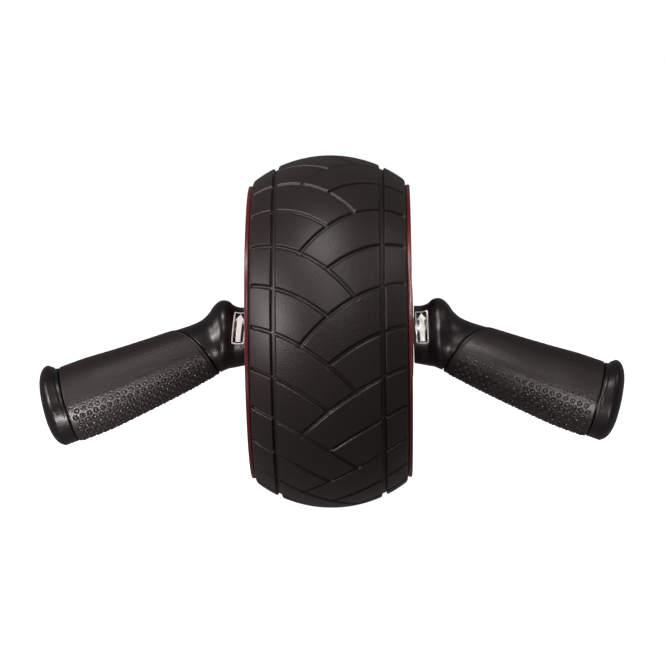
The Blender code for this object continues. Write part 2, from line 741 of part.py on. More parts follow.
def neck_station(top_x, top_z, low_x, low_z, depth):
    top = Vector((ARM_FACE + top_x, 0, top_z))
    low = Vector((ARM_FACE + low_x, 0, low_z))
    return (top + low) / 2, (top - low) / 2, depth / 2


def handle_stations():
    """The handle's sections from the hub to the end face; the neck's fan out, the grip's lean."""
    start, slope = grip_axis(0.0)
    _, up, _ = station(start, slope, GRIP_INNER_DIAMETER, 0)
    top, low = start + up, start - up
    top_x, low_x = top.x - ARM_FACE, low.x - ARM_FACE
    grip_depth = GRIP_INNER_DIAMETER * ROUNDNESS
    rows = [neck_station(0, NECK_RISE, 0, -NECK_DROP, NECK_DEPTH)]
    for share, rise, swell in STOP_CLIMB:
        x = STOP_OFFSET - STOP_WIDTH * (1 - share)
        low_z = -NECK_DROP + (low.z + NECK_DROP) * UNDERSIDE_FALL * x / low_x
        top_z = NECK_RISE + (STOP_RISE - NECK_RISE) * rise
        depth = NECK_DEPTH + STOP_SWELL * swell
        rows.append(neck_station(x, top_z, x * UNDERSIDE_LAG, low_z, depth))
    peak_low = rows[-1][0] - rows[-1][1]
    for share, rise, swell in STOP_FALL:
        x = STOP_OFFSET + (top_x - STOP_OFFSET) * share
        top_z = top.z + (STOP_RISE - top.z) * rise
        under_x = peak_low.x + (low.x - peak_low.x) * share - ARM_FACE
        under_z = peak_low.z + (low.z - peak_low.z) * share**UNDERSIDE_CURVE
        depth = NECK_DEPTH + (grip_depth - NECK_DEPTH) * share + STOP_SWELL * swell
        rows.append(neck_station(x, top_z, under_x, under_z, depth))
    for share in (0.0, 0.25, 0.5, 0.75, 1.0):
        spot, slope = grip_axis(GRIP_LENGTH * share)
        growth = min(1, share / GRIP_TAPER_SHARE)
        height = GRIP_INNER_DIAMETER + (GRIP_OUTER_DIAMETER - GRIP_INNER_DIAMETER) * growth
        rows.append(station(spot, slope, height, height * ROUNDNESS))
    waist, slope = grip_axis(GRIP_LENGTH)
    along = math.radians(BUTT_SLOPE)
    out = Vector((math.cos(along), 0, -math.sin(along)))
    half_way = GRIP_OUTER_DIAMETER + (BUTT_RIM_DIAMETER - GRIP_OUTER_DIAMETER) * BUTT_FLARE
    spans = [(BUTT_RIM / 2, half_way), (BUTT_RIM, BUTT_RIM_DIAMETER)]
    for angle in END_ANGLES:
        inset = BUTT_END_ROUNDING * (1 - math.cos(math.radians(angle)))
        spans.append((BUTT_RIM + BUTT_END_DEPTH * math.sin(math.radians(angle)),
                      BUTT_RIM_DIAMETER - 2 * inset))
    for length, height in spans:
        lean = slope + (BUTT_TILT - slope) * length / (BUTT_RIM + BUTT_END_DEPTH)
        rows.append(station(waist + out * length, lean, height, height * ROUNDNESS))
    return rows


def on_foot(rows, point):
    """Moves a point of the end cap that lies under the flat of its foot up to it."""
    slope = math.radians(BUTT_FOOT_SLOPE)
    down = Vector((math.sin(slope), 0, -math.cos(slope)))
    corner = rows[RIM_STATION][0] - rows[RIM_STATION][1]
    return point - down * max(0.0, (point - corner).dot(down))


def section(rows, t):
    """The section at a place between two stations, on a smooth curve through all of them."""
    first = min(int(t), len(rows) - 2)
    part = t - first
    picks = [rows[max(0, min(len(rows) - 1, first + k))] for k in (-1, 0, 1, 2)]
    weights = (
        (-part + 2 * part**2 - part**3) / 2,
        (2 - 5 * part**2 + 3 * part**3) / 2,
        (part + 4 * part**2 - 3 * part**3) / 2,
        (-(part**2) + part**3) / 2,
    )
    centre = sum((w * row[0] for w, row in zip(weights, picks)), Vector())
    up = sum((w * row[1] for w, row in zip(weights, picks)), Vector())
    return centre, up, sum(w * row[2] for w, row in zip(weights, picks))


def handle_point(rows, t, turn, inset=0.0):
    """A point of the handle's surface, or one that far under it; turn runs from the front, upwards."""
    centre, up, depth = section(rows, t)
    high = up.normalized() * (up.length - inset)
    return centre + high * math.sin(turn) + Vector((0, -(depth - inset), 0)) * math.cos(turn)


def place_at(rows, turn, x, inset=0.0):
    """Where along the handle its surface reaches x, at this turn."""
    low, high = 0.0, float(len(rows) - 1)
    for _ in range(30):
        middle = (low + high) / 2
        if handle_point(rows, middle, turn, inset).x < x:
            low = middle
        else:
            high = middle
    return (low + high) / 2


def grip_edge(turn):
    """The arched inner edge of the grip: x on the surface at this turn."""
    from_top = math.degrees(math.acos(max(-1.0, min(1.0, math.sin(turn)))))
    share = max(0.0, 1 - math.hypot(from_top, GRIP_EDGE_ROUNDING) / 180)
    return ARM_FACE + GRIP_LOW_EDGE + GRIP_EDGE_REACH * share**GRIP_EDGE_POWER


def turns():
    return [2 * math.pi * k / HANDLE_SIDES for k in range(HANDLE_SIDES)]


def ring_at(rows, places, inset=0.0):
    return [handle_point(rows, t, turn, inset) for t, turn in zip(places, turns())]


def between(first, second, share):
    return [a + (b - a) * share for a, b in zip(first, second)]


def mirrored(rings, side):
    return [[(side * x, y, z) for x, y, z in ring] for ring in rings]


def seam_places(rows, shift):
    """The grip's inner edge, moved out along the axle by the shift."""
    return [place_at(rows, turn, grip_edge(turn) + shift) for turn in turns()]


def make_arm(rows, side):
    word = "right" if side > 0 else "left"
    core = GRIP_RUBBER + CORE_GAP
    face = [0.0] * HANDLE_SIDES
    seam = seam_places(rows, -SEAM_GAP / 2)
    steps = 10
    rings = [ring_at(rows, between(face, seam, k / steps)) for k in range(steps + 1)]
    rings.append(ring_at(rows, seam, core))
    rings += under_grip(rows, core)
    rings.append(ring_at(rows, cap_places(rows, 0.5), core))
    rings.append(ring_at(rows, [along_butt(rows, CAP_LAP)] * HANDLE_SIDES, core))
    arm = loft(f"handle_arm_{word}", mirrored(rings, side), handle_axis, gloss)
    clear = ROUND_GAP
    socket = [shaft_ring(side * x, SHAFT_RADIUS + clear, SHAFT_FLAT + 2 * clear)
              for x in (ARM_FACE - MM, SHAFT_END + GAP)]
    boolean(arm, loft(f"socket_{word}", socket, handle_axis, None))
    x = side * (ARM_FACE + ARM_PIN_OFFSET)
    depth = rows[0][2]
    hole = rod(f"arm_pin_hole_{word}", (x, 0, -NECK_DROP - depth), (x, 0, pin_top() + GAP),
               PIN_RADIUS + GAP, handle_axis, None)
    boolean(arm, hole)
    rod(f"arm_pin_{word}", (x, 0, -pin_top()), (x, 0, pin_top()), PIN_RADIUS, handle_axis, steel)


def pin_top():
    """Half the length of the pin that holds an arm, a wall short of the neck's top."""
    return (SHAFT_RADIUS + NECK_RISE) / 2


def along_butt(rows, distance):
    """The section of the butt that lies this far out from the waist."""
    waist = section(rows, float(WAIST_STATION))[0]
    low, high = float(WAIST_STATION), float(len(rows) - 1)
    for _ in range(30):
        middle = (low + high) / 2
        if (section(rows, middle)[0] - waist).length < distance:
            low = middle
        else:
            high = middle
    return low


def cap_places(rows, share):
    """The joint between grip and cap, moved out by a share of the seam gap."""
    waist = section(rows, float(WAIST_STATION))[0]
    found = []
    for turn in turns():
        x = waist.x + CAP_JOINT_OUT + CAP_JOINT_LEAN * math.sin(turn)
        x += CAP_JOINT_BOW * math.cos(turn) ** 2
        found.append(place_at(rows, turn, x + share * SEAM_GAP))
    return found


def under_grip(rows, inset):
    """Rings at equal places along the arm's core and the grip's bore, so that the two keep their gap."""
    start, end = seam_places(rows, 0.0), cap_places(rows, 0.0)
    return [ring_at(rows, between(start, end, share), inset) for share in CORE_RINGS]


def make_grip(rows, side):
    word = "right" if side > 0 else "left"
    start = seam_places(rows, SEAM_GAP / 2)
    end = cap_places(rows, -0.5)
    steps = 7
    outside = [ring_at(rows, between(start, end, k / steps), -GRIP_PROUD) for k in range(steps + 1)]
    bore = [ring_at(rows, start, GRIP_RUBBER)] + under_grip(rows, GRIP_RUBBER)
    inside = [ring_at(rows, end, GRIP_RUBBER)] + bore[::-1]
    loft(f"grip_{word}", mirrored(outside + inside, side), handle_axis, grip_rubber, closed=True)


def make_cap(rows, side):
    word = "right" if side > 0 else "left"
    start = cap_places(rows, 0.5)
    inset = GRIP_RUBBER
    floor = [along_butt(rows, CAP_LAP + ROUND_GAP)] * HANDLE_SIDES
    rim = [float(RIM_STATION)] * HANDLE_SIDES
    rings = [ring_at(rows, floor, inset), ring_at(rows, start, inset), ring_at(rows, start)]
    rings += [ring_at(rows, between(start, rim, 0.5)), ring_at(rows, rim)]
    for t in range(RIM_STATION + 1, len(rows)):
        rings.append([on_foot(rows, point) for point in ring_at(rows, [float(t)] * HANDLE_SIDES)])
    loft(f"end_cap_{word}", mirrored(rings, side), handle_axis, gloss)


def make_label(rows, side):
    word = "right" if side > 0 else "left"
    steps = 8
    rings = []
    for k in range(steps + 1):
        turn = math.radians(LABEL_BOTTOM + (LABEL_TOP - LABEL_BOTTOM) * k / steps)
        row = []
        for share, lift in ((0, 0), (0.5, 0), (1, 0), (1, 1), (0.5, 1), (0, 1)):
            x = ARM_FACE + LABEL_INSET + LABEL_WIDTH * share
            t = place_at(rows, turn, x)
            row.append(handle_point(rows, t, turn, -GAP - LABEL_THICKNESS * lift))
        rings.append(row)
    loft(f"arrow_label_{word}", mirrored(rings, side), handle_axis, label_film)


clear_scene()
parts = new_collection("ab_roller")
cutters = new_collection("cutters")
rubber = material("tread_rubber", (0.035, 0.032, 0.031), 0.75)
red = material("hub_red", (0.32, 0.012, 0.018), 0.3)
gloss = material("arm_gloss_black", (0.012, 0.012, 0.013), 0.18)
grip_rubber = material("grip_rubber", (0.03, 0.027, 0.027), 0.6)
label_film = material("label_white", (0.8, 0.8, 0.8), 0.4)
steel = material("zinc_plated_steel", (0.55, 0.56, 0.58), 0.35, 1.0)
spring_steel = material("blue_spring_steel", (0.12, 0.14, 0.18), 0.35, 1.0)
zinc = material("pressed_steel", (0.5, 0.5, 0.52), 0.45, 1.0)
nylon = material("white_nylon", (0.75, 0.74, 0.7), 0.5)
wheel_axis = new_axis("wheel_axis")
handle_axis = new_axis("handle_axis")

make_tread()
make_hub_screws()
make_spring_case()
make_spring_cover()
make_spring_anchor()
make_spring_arbor()
make_spiral_spring()
make_shaft()
stations = handle_stations()
for hand in (1, -1):
    make_hub_half(hand)
    make_bush(hand)
    make_spacer(hand)
    make_thrust_washer(hand)
    make_circlip(hand)
    make_arm(stations, hand)
    make_grip(stations, hand)
    make_cap(stations, hand)
    make_label(stations, hand)
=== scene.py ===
"""The looks of a spring-assisted ab roller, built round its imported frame.

Metres, +Z up. +X runs along the axle to the right-hand handle and -Y faces the camera.
"""

import math

import bpy
from mathutils import Matrix, Vector


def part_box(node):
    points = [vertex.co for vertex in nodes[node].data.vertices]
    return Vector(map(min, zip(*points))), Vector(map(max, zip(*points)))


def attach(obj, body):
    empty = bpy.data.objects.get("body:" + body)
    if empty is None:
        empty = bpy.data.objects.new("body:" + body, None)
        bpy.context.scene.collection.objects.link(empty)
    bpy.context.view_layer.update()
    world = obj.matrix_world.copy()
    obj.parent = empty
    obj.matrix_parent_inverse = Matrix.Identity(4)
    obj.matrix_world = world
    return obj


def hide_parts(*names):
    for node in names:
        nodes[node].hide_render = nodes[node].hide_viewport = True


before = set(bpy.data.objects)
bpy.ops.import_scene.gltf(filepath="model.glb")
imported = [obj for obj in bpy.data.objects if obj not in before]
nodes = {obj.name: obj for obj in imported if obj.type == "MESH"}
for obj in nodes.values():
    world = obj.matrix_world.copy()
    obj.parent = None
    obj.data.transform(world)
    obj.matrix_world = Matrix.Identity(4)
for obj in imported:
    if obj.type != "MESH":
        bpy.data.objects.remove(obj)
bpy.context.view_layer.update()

# Axle shaft, its pins, washers and the arbor
# Steel bar and turned rings, zinc plated: a pale grey metal with the fine rings that turning
# leaves. The cross pins hold the arbor and the two arms on the shaft.

MM = 0.001


def linear(colour):
    """An sRGB hex colour as the linear values that a shader takes."""
    values = [int(colour[i:i + 2], 16) / 255 for i in (1, 3, 5)]
    return (*[v / 12.92 if v <= 0.04045 else ((v + 0.055) / 1.055) ** 2.4 for v in values], 1)


def add_node(tree, kind, inputs=(), **settings):
    """Adds one node with its settings; each input gets a value or the output that feeds it."""
    node = tree.nodes.new(f"ShaderNode{kind}")
    for name, value in settings.items():
        setattr(node, name, value)
    for name, value in dict(inputs).items():
        if isinstance(value, bpy.types.NodeSocket):
            tree.links.new(value, node.inputs[name])
        else:
            node.inputs[name].default_value = value
    return node


def new_finish(name, colour, **values):
    """Starts a material with this base colour and these plain values on its shader."""
    finish = bpy.data.materials.new(name)
    finish.use_nodes = True
    shader = finish.node_tree.nodes["Principled BSDF"]
    shader.inputs["Base Color"].default_value = linear(colour)
    for socket, value in values.items():
        shader.inputs[socket.replace("_", " ")].default_value = value
    return finish, finish.node_tree, shader


def shade_from(tree, shader, pattern, roughness, depth=0.0):
    """Lets a pattern from 0 to 1 vary the roughness between two values and raise the surface."""
    low, high = roughness
    spread = add_node(tree, "MapRange", {"Value": pattern, "To Min": low, "To Max": high})
    tree.links.new(spread.outputs["Result"], shader.inputs["Roughness"])
    if depth:
        bump = add_node(tree, "Bump", {"Height": pattern, "Distance": depth})
        tree.links.new(bump.outputs["Normal"], shader.inputs["Normal"])


def zinc_plated_steel():
    finish, tree, shader = new_finish("zinc_plated_steel", "#c9cacb", Metallic=1.0)
    place = add_node(tree, "TexCoord")
    # Turning marks are about 0.2 mm apart, drawn at 0.45 mm so that they show
    rings = add_node(tree, "Mapping", {"Vector": place.outputs["Object"], "Scale": (2200, 60, 60)})
    grain = add_node(tree, "TexNoise", {"Vector": rings.outputs["Vector"], "Scale": 1.0})
    shade_from(tree, shader, grain.outputs["Fac"], (0.24, 0.42), 0.01 * MM)
    return finish


def put_on(finish, slot, *names):
    """Gives CAD nodes a finish in the place of their own."""
    for name in names:
        nodes[name].data.materials.clear()
        nodes[name].data.materials.append(finish)


plated = zinc_plated_steel()
put_on(plated, "steel", "axle_shaft", "spring_arbor", "arbor_pin", "spring_anchor", "arm_pin_left",
       "arm_pin_right", "thrust_washer_left", "thrust_washer_right")

# Spiral spring and circlips
# Hardened spring steel, blued by tempering: a dark blue-grey strip with a soft sheen. The spring's
# tongue sits in the arbor's slot and its eye hooks on the anchor in the case.


def blued_spring_steel():
    finish, tree, shader = new_finish("blued_spring_steel", "#3c4656", Metallic=1.0)
    place = add_node(tree, "TexCoord")
    cloud = add_node(tree, "TexNoise", {"Vector": place.outputs["Object"], "Scale": 90.0})
    tint = add_node(tree, "Mix", {"Factor": cloud.outputs["Fac"]}, data_type="RGBA")
    tint.inputs["A"].default_value = linear("#2f3a4c")
    tint.inputs["B"].default_value = linear("#5a5f6d")
    tree.links.new(tint.outputs["Result"], shader.inputs["Base Color"])
    shade_from(tree, shader, cloud.outputs["Fac"], (0.22, 0.4))
    return finish


put_on(blued_spring_steel(), "spring_steel", "spiral_spring", "circlip_left", "circlip_right")

# Spring case and cover
# Pressed from 1.8 mm sheet steel, with ears for the four long screws. Drawing leaves a dull grey
# surface with soft cloudy marks.


def pressed_sheet_steel():
    finish, tree, shader = new_finish("pressed_sheet_steel", "#a7a8aa", Metallic=1.0)
    place = add_node(tree, "TexCoord")
    cloud = add_node(tree, "TexNoise", {"Vector": place.outputs["Object"], "Scale": 160.0})
    shade_from(tree, shader, cloud.outputs["Fac"], (0.36, 0.58), 0.02 * MM)
    return finish


put_on(pressed_sheet_steel(), "pressed_steel", "spring_case", "spring_cover")

# Bushes and spacers
# Moulded natural nylon: off-white, slightly see-through at its edges, with a waxy satin surface.
# The bushes are pressed into the hub and run on the shaft, the spacers keep the arbor in place.


def natural_nylon():
    finish, tree, shader = new_finish("natural_nylon", "#dcd8c8", IOR=1.53)
    shader.inputs["Subsurface Weight"].default_value = 0.15
    shader.inputs["Subsurface Scale"].default_value = 1.5 * MM
    place = add_node(tree, "TexCoord")
    grain = add_node(tree, "TexNoise", {"Vector": place.outputs["Object"], "Scale": 900.0})
    shade_from(tree, shader, grain.outputs["Fac"], (0.36, 0.5), 0.01 * MM)
    return finish


put_on(natural_nylon(), "nylon", "bush_left", "bush_right", "spacer_left", "spacer_right")

# Hub halves
# Two half drums moulded in red ABS, each with a dished side disc and a thin rim flange beside the
# tread. The moulded surface has a satin gloss with a very slight ripple. The right half has
# pockets for the heads of the four screws that hold both halves together.

WHEEL_RADIUS = (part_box("tread")[1].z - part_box("tread")[0].z) / 2
AXLE = Vector((0, 0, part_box("tread")[0].z + WHEEL_RADIUS))
TREAD_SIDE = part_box("tread")[1].x
HUB_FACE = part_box("hub_half_right")[1].x
CROWN_RADIUS = 70.0 * MM
TREAD_THICKNESS = 7.0 * MM
SEAT_GAP = 0.3 * MM
RIM_FLANGE_RADIUS = 83.0 * MM
RIM_FLANGE_THICKNESS = 2.2 * MM
RIM_LAND = 6.0 * MM
DISC_DISH = 2.0 * MM
DISH_WALL_RUN = 4.0 * MM
CENTRE_RADIUS = 26.0 * MM
HUB_WALL = 3.0 * MM
BUSH_HOLE = 10.9 * MM
BUSH_FLANGE_HOLE = 13.4 * MM
BUSH_SEAT = 41.8 * MM
BUSH_INNER = 25.8 * MM
BUSH_BOSS_RADIUS = 17.0 * MM
HUB_EDGE = 0.4 * MM
HUB_SIDES = 128
HUB_ROWS = 10
SCREW_CIRCLE_RADIUS = 58.0 * MM
SCREW_COUNT = 4
SCREW_SHANK = 2.0 * MM
SCREW_HEAD = 3.8 * MM
SCREW_BOSS_RADIUS = 5.6 * MM
SCREW_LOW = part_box("hub_screw_1")[0].x
SCREW_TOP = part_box("hub_screw_1")[1].x
SCREW_SEAT = SCREW_TOP - 2.6 * MM
BOSS_JOINT_LEFT = 8.9 * MM
BOSS_JOINT_RIGHT = 13.4 * MM


def crown(x):
    """The tread's outer radius at a distance from the middle plane."""
    return WHEEL_RADIUS - CROWN_RADIUS + math.sqrt(CROWN_RADIUS**2 - x**2)


def pick(piece):
    """Selects one piece alone and makes it the active one."""
    bpy.ops.object.select_all(action="DESELECT")
    piece.select_set(True)
    bpy.context.view_layer.objects.active = piece


def close_mesh(piece, merge=0.01 * MM):
    """Merges the points that meet and turns every face outwards."""
    pick(piece)
    bpy.ops.object.mode_set(mode="EDIT")
    bpy.ops.mesh.select_all(action="SELECT")
    bpy.ops.mesh.remove_doubles(threshold=merge)
    bpy.ops.mesh.normals_make_consistent(inside=False)
    bpy.ops.object.mode_set(mode="OBJECT")


def turn_on_axle(name, outline, sides):
    """Turns a closed outline of (place along the axle, radius): a ring is drawn from point to point."""
    bpy.ops.object.select_all(action="DESELECT")
    x, radius = outline[0]
    bpy.ops.mesh.primitive_circle_add(
        vertices=sides, radius=radius, location=(x, 0, AXLE.z), rotation=(0, math.pi / 2, 0))
    piece = bpy.context.object
    piece.name = name
    bpy.ops.object.transform_apply()
    bpy.ops.object.mode_set(mode="EDIT")
    bpy.ops.mesh.select_all(action="SELECT")
    for next_x, next_radius in outline[1:] + outline[:1]:
        bpy.ops.mesh.extrude_region_move(TRANSFORM_OT_translate={"value": (next_x - x, 0, 0)})
        grow = next_radius / radius
        bpy.ops.transform.resize(value=(1, grow, grow), center_override=(next_x, 0, AXLE.z))
        x, radius = next_x, next_radius
    bpy.ops.object.mode_set(mode="OBJECT")
    close_mesh(piece)
    return piece


def apply_step(piece, kind, **settings):
    """Adds a modifier with these settings and applies it."""
    bpy.context.view_layer.objects.active = piece
    step = piece.modifiers.new(kind.title(), kind)
    for name, value in settings.items():
        setattr(step, name, value)
    bpy.ops.object.modifier_apply(modifier=step.name)


def combine(piece, tool, operation):
    """Joins a tool to a piece or cuts it out, and removes the tool."""
    apply_step(piece, "BOOLEAN", object=tool, operation=operation, solver="EXACT")
    bpy.data.objects.remove(tool)


def smooth(piece, degrees):
    """Shades a piece smooth where its faces meet at less than this angle."""
    pick(piece)
    bpy.ops.object.shade_smooth_by_angle(angle=math.radians(degrees))


def settle(piece, finish, slot, body, *replaced):
    """Gives a finished piece its material and its place in the frame."""
    piece.data.materials.clear()
    piece.data.materials.append(finish)
    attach(piece, body)
    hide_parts(*replaced)


def along_axle(start, end, radius, y, z, sides=24):
    """A plain round rod parallel to the axle, to join to a piece or cut from it."""
    bpy.ops.object.select_all(action="DESELECT")
    bpy.ops.mesh.primitive_cylinder_add(
        vertices=sides, radius=radius, depth=end - start,
        location=((start + end) / 2, y, AXLE.z + z), rotation=(0, math.pi / 2, 0))
    bpy.ops.object.transform_apply()
    return bpy.context.object


def screw_places():
    for number in range(SCREW_COUNT):
        angle = (number + 0.5) * 2 * math.pi / SCREW_COUNT
        yield SCREW_CIRCLE_RADIUS * math.cos(angle), SCREW_CIRCLE_RADIUS * math.sin(angle)


def moulded_red_abs():
    finish, tree, shader = new_finish("moulded_red_abs", "#6a2229", IOR=1.53)
    place = add_node(tree, "TexCoord")
    ripple = add_node(tree, "TexNoise", {"Vector": place.outputs["Object"], "Scale": 260.0})
    shade_from(tree, shader, ripple.outputs["Fac"], (0.26, 0.36), 0.02 * MM)
    return finish


def hub_outline(side):
    """One hub half from the middle plane out: drum, rim flange, dished disc, boss and inside."""
    under = TREAD_THICKNESS + SEAT_GAP
    joint = SEAT_GAP / 2
    flange_inner = TREAD_SIDE + SEAT_GAP
    flange_outer = flange_inner + RIM_FLANGE_THICKNESS
    floor = flange_outer - DISC_DISH
    wall = flange_inner - HUB_WALL
    drum = [joint + (flange_inner - joint) * k / HUB_ROWS for k in range(HUB_ROWS + 1)]
    inside = [wall + (joint - wall) * k / HUB_ROWS for k in range(HUB_ROWS + 1)]
    outline = [(x, crown(x) - under) for x in drum]
    outline += [
        (flange_inner, RIM_FLANGE_RADIUS),
        (flange_outer, RIM_FLANGE_RADIUS),
        (flange_outer, RIM_FLANGE_RADIUS - RIM_LAND),
        (floor, RIM_FLANGE_RADIUS - RIM_LAND - DISH_WALL_RUN),
        (floor, CENTRE_RADIUS + DISH_WALL_RUN),
        (HUB_FACE, CENTRE_RADIUS),
        (HUB_FACE, BUSH_FLANGE_HOLE),
        (BUSH_SEAT, BUSH_FLANGE_HOLE),
        (BUSH_SEAT, BUSH_HOLE),
        (BUSH_INNER, BUSH_HOLE),
        (BUSH_INNER, BUSH_BOSS_RADIUS),
        (wall, BUSH_BOSS_RADIUS),
    ]
    outline += [(x, crown(x) - under - HUB_WALL) for x in inside]
    return [(side * x, r) for x, r in outline]


red_abs = moulded_red_abs()
for side, word in ((1, "right"), (-1, "left")):
    hub = turn_on_axle(f"red_hub_{word}", hub_outline(side), HUB_SIDES)
    apply_step(hub, "BEVEL", width=HUB_EDGE, segments=3, limit_method="ANGLE",
               angle_limit=math.radians(20))
    wall = TREAD_SIDE - HUB_WALL / 2
    for y, z in screw_places():
        if side > 0:
            combine(hub, along_axle(BOSS_JOINT_RIGHT, wall, SCREW_BOSS_RADIUS, y, z), "UNION")
            bore = along_axle(BOSS_JOINT_RIGHT - MM, SCREW_TOP, SCREW_SHANK + SEAT_GAP, y, z)
            combine(hub, bore, "DIFFERENCE")
            pocket = along_axle(SCREW_SEAT - SEAT_GAP, HUB_FACE, SCREW_HEAD + SEAT_GAP, y, z, 36)
            combine(hub, pocket, "DIFFERENCE")
        else:
            combine(hub, along_axle(-wall, BOSS_JOINT_LEFT, SCREW_BOSS_RADIUS, y, z), "UNION")
            bore = along_axle(SCREW_LOW - SEAT_GAP, BOSS_JOINT_LEFT + MM, SCREW_SHANK + SEAT_GAP, y, z)
            combine(hub, bore, "DIFFERENCE")
    smooth(hub, 35)
    settle(hub, red_abs, "hub_red", "wheel", f"hub_half_{word}")

# Hub screws
# Four long steel screws, zinc plated, with flat heads and a cross recess. They pass through the
# right half, the spring cover and the case, and cut their thread in the bosses of the left half.

HEAD_EDGE = 0.5 * MM
HEAD_EDGE_DROP = 0.15 * MM
HEAD_EDGE_BEND = 0.35
RECESS_LENGTH = 4.4 * MM
RECESS_WIDTH = 1.0 * MM
RECESS_DEPTH = 1.5 * MM
RECESS_TAPER = (0.6, 0.7)
THREAD_PITCH = 1.4 * MM
THREAD_DEPTH = 0.3 * MM
THREAD_LENGTH = 12.0 * MM
THREAD_CREST = (0.35, 0.5)
SCREW_POINT = 0.2 * MM
SCREW_SIDES = 32


def recess_bar(y, z, turn):
    """One bar of the cross recess, narrower at its floor than at the top."""
    bpy.ops.object.select_all(action="DESELECT")
    bpy.ops.mesh.primitive_cube_add(size=1, location=(0, 0, 0))
    bar = bpy.context.object
    bar.scale = (2 * RECESS_DEPTH, RECESS_LENGTH, RECESS_WIDTH)
    bpy.ops.object.transform_apply()
    for corner in bar.data.vertices:
        if corner.co.x < 0:
            corner.co.y *= RECESS_TAPER[0]
            corner.co.z *= RECESS_TAPER[1]
    bar.data.transform(Matrix.Rotation(turn, 4, "X"))
    bar.data.transform(Matrix.Translation((SCREW_TOP, y, AXLE.z + z)))
    return bar


def make_screw(name, y, z):
    """A screw turned on the axle and then moved out to its place."""
    outline = [(SCREW_LOW, SCREW_POINT), (SCREW_LOW + THREAD_PITCH, SCREW_SHANK - THREAD_DEPTH)]
    for k in range(1, round(THREAD_LENGTH / THREAD_PITCH)):
        start = SCREW_LOW + k * THREAD_PITCH
        outline += [(start + share * THREAD_PITCH, SCREW_SHANK) for share in THREAD_CREST]
        outline.append((start + THREAD_PITCH, SCREW_SHANK - THREAD_DEPTH))
    outline += [(outline[-1][0] + THREAD_PITCH, SCREW_SHANK), (SCREW_SEAT, SCREW_SHANK)]
    outline += [(SCREW_SEAT, SCREW_HEAD), (SCREW_TOP - HEAD_EDGE, SCREW_HEAD)]
    outline += [(SCREW_TOP - HEAD_EDGE_DROP, SCREW_HEAD - HEAD_EDGE_BEND * HEAD_EDGE)]
    outline += [(SCREW_TOP, SCREW_HEAD - HEAD_EDGE), (SCREW_TOP, SCREW_POINT)]
    screw = turn_on_axle(name, outline, SCREW_SIDES)
    screw.data.transform(Matrix.Translation((0, y, z)))
    return screw


for number, (y, z) in enumerate(screw_places(), 1):
    screw = make_screw(f"cross_head_screw_{number}", y, z)
    for turn in (0.0, math.pi / 2):
        # Each screw was driven home at another angle, here one more radian for each
        combine(screw, recess_bar(y, z, turn + number), "DIFFERENCE")
    smooth(screw, 30)
    settle(screw, plated, "steel", "wheel", f"hub_screw_{number}")

# Tread
# A wide rubber tyre, moulded with its pattern and stretched over the hub. Two ring grooves set off
# the shoulders, and curved cross grooves run in from both sides to meet near the middle. Every
# groove has rounded lips, and the rubber is a dull charcoal with a fine moulded grain.

TREAD_SIDES = 240
TREAD_STEP = 2.2 * MM
SHOULDER_ROUND = 3.0 * MM
SHOULDER_ROWS = 6
INNER_EDGE = 1.0 * MM
INNER_ROWS = 8
RING_GROOVE_OFFSET = 29.5 * MM
# Both grooves' sections in millimetres: how far from the middle line, and how deep
RING_LIP = ((2.1, 0.0), (1.75, 0.08), (1.5, 0.28), (1.33, 0.6), (1.22, 1.2), (1.0, 1.7))
CROSS_LIP = ((2.05, -0.14), (1.58, 0.05), (1.32, 0.2), (1.08, 0.45), (0.88, 0.8), (0.7, 1.2),
             (0.4, 1.45))
DEEPER_EACH_SET = 0.05
CROSS_SWEEP_RADIUS = 105.0 * MM
CROSS_SWEEP_CENTRE = 68.0 * MM
CROSS_OUTER = 41.4 * MM
LONG_CROSS_END = 15.5 * MM
SHORT_CROSS_END = 0.3 * MM
PATTERN_REPEATS = 12
PATTERN_TURN = math.radians(3.6)
PATTERN_PITCH = 2 * math.pi * WHEEL_RADIUS / PATTERN_REPEATS
CUTTER_HEIGHT = 3.0 * MM
CUTTER_ROWS = 24


def moulded_rubber():
    finish, tree, shader = new_finish("moulded_rubber", "#241f1d", IOR=1.52)
    place = add_node(tree, "TexCoord")
    # The real grain is about 0.2 mm, drawn at 0.7 mm so that it shows
    grain = add_node(tree, "TexNoise", {"Vector": place.outputs["Object"], "Scale": 1400.0})
    cloud = add_node(tree, "TexNoise", {"Vector": place.outputs["Object"], "Scale": 35.0})
    tint = add_node(tree, "Mix", {"Factor": cloud.outputs["Fac"]}, data_type="RGBA")
    tint.inputs["A"].default_value = linear("#1f1a19")
    tint.inputs["B"].default_value = linear("#292321")
    tree.links.new(tint.outputs["Result"], shader.inputs["Base Color"])
    shade_from(tree, shader, grain.outputs["Fac"], (0.34, 0.48), 0.13 * MM)
    return finish


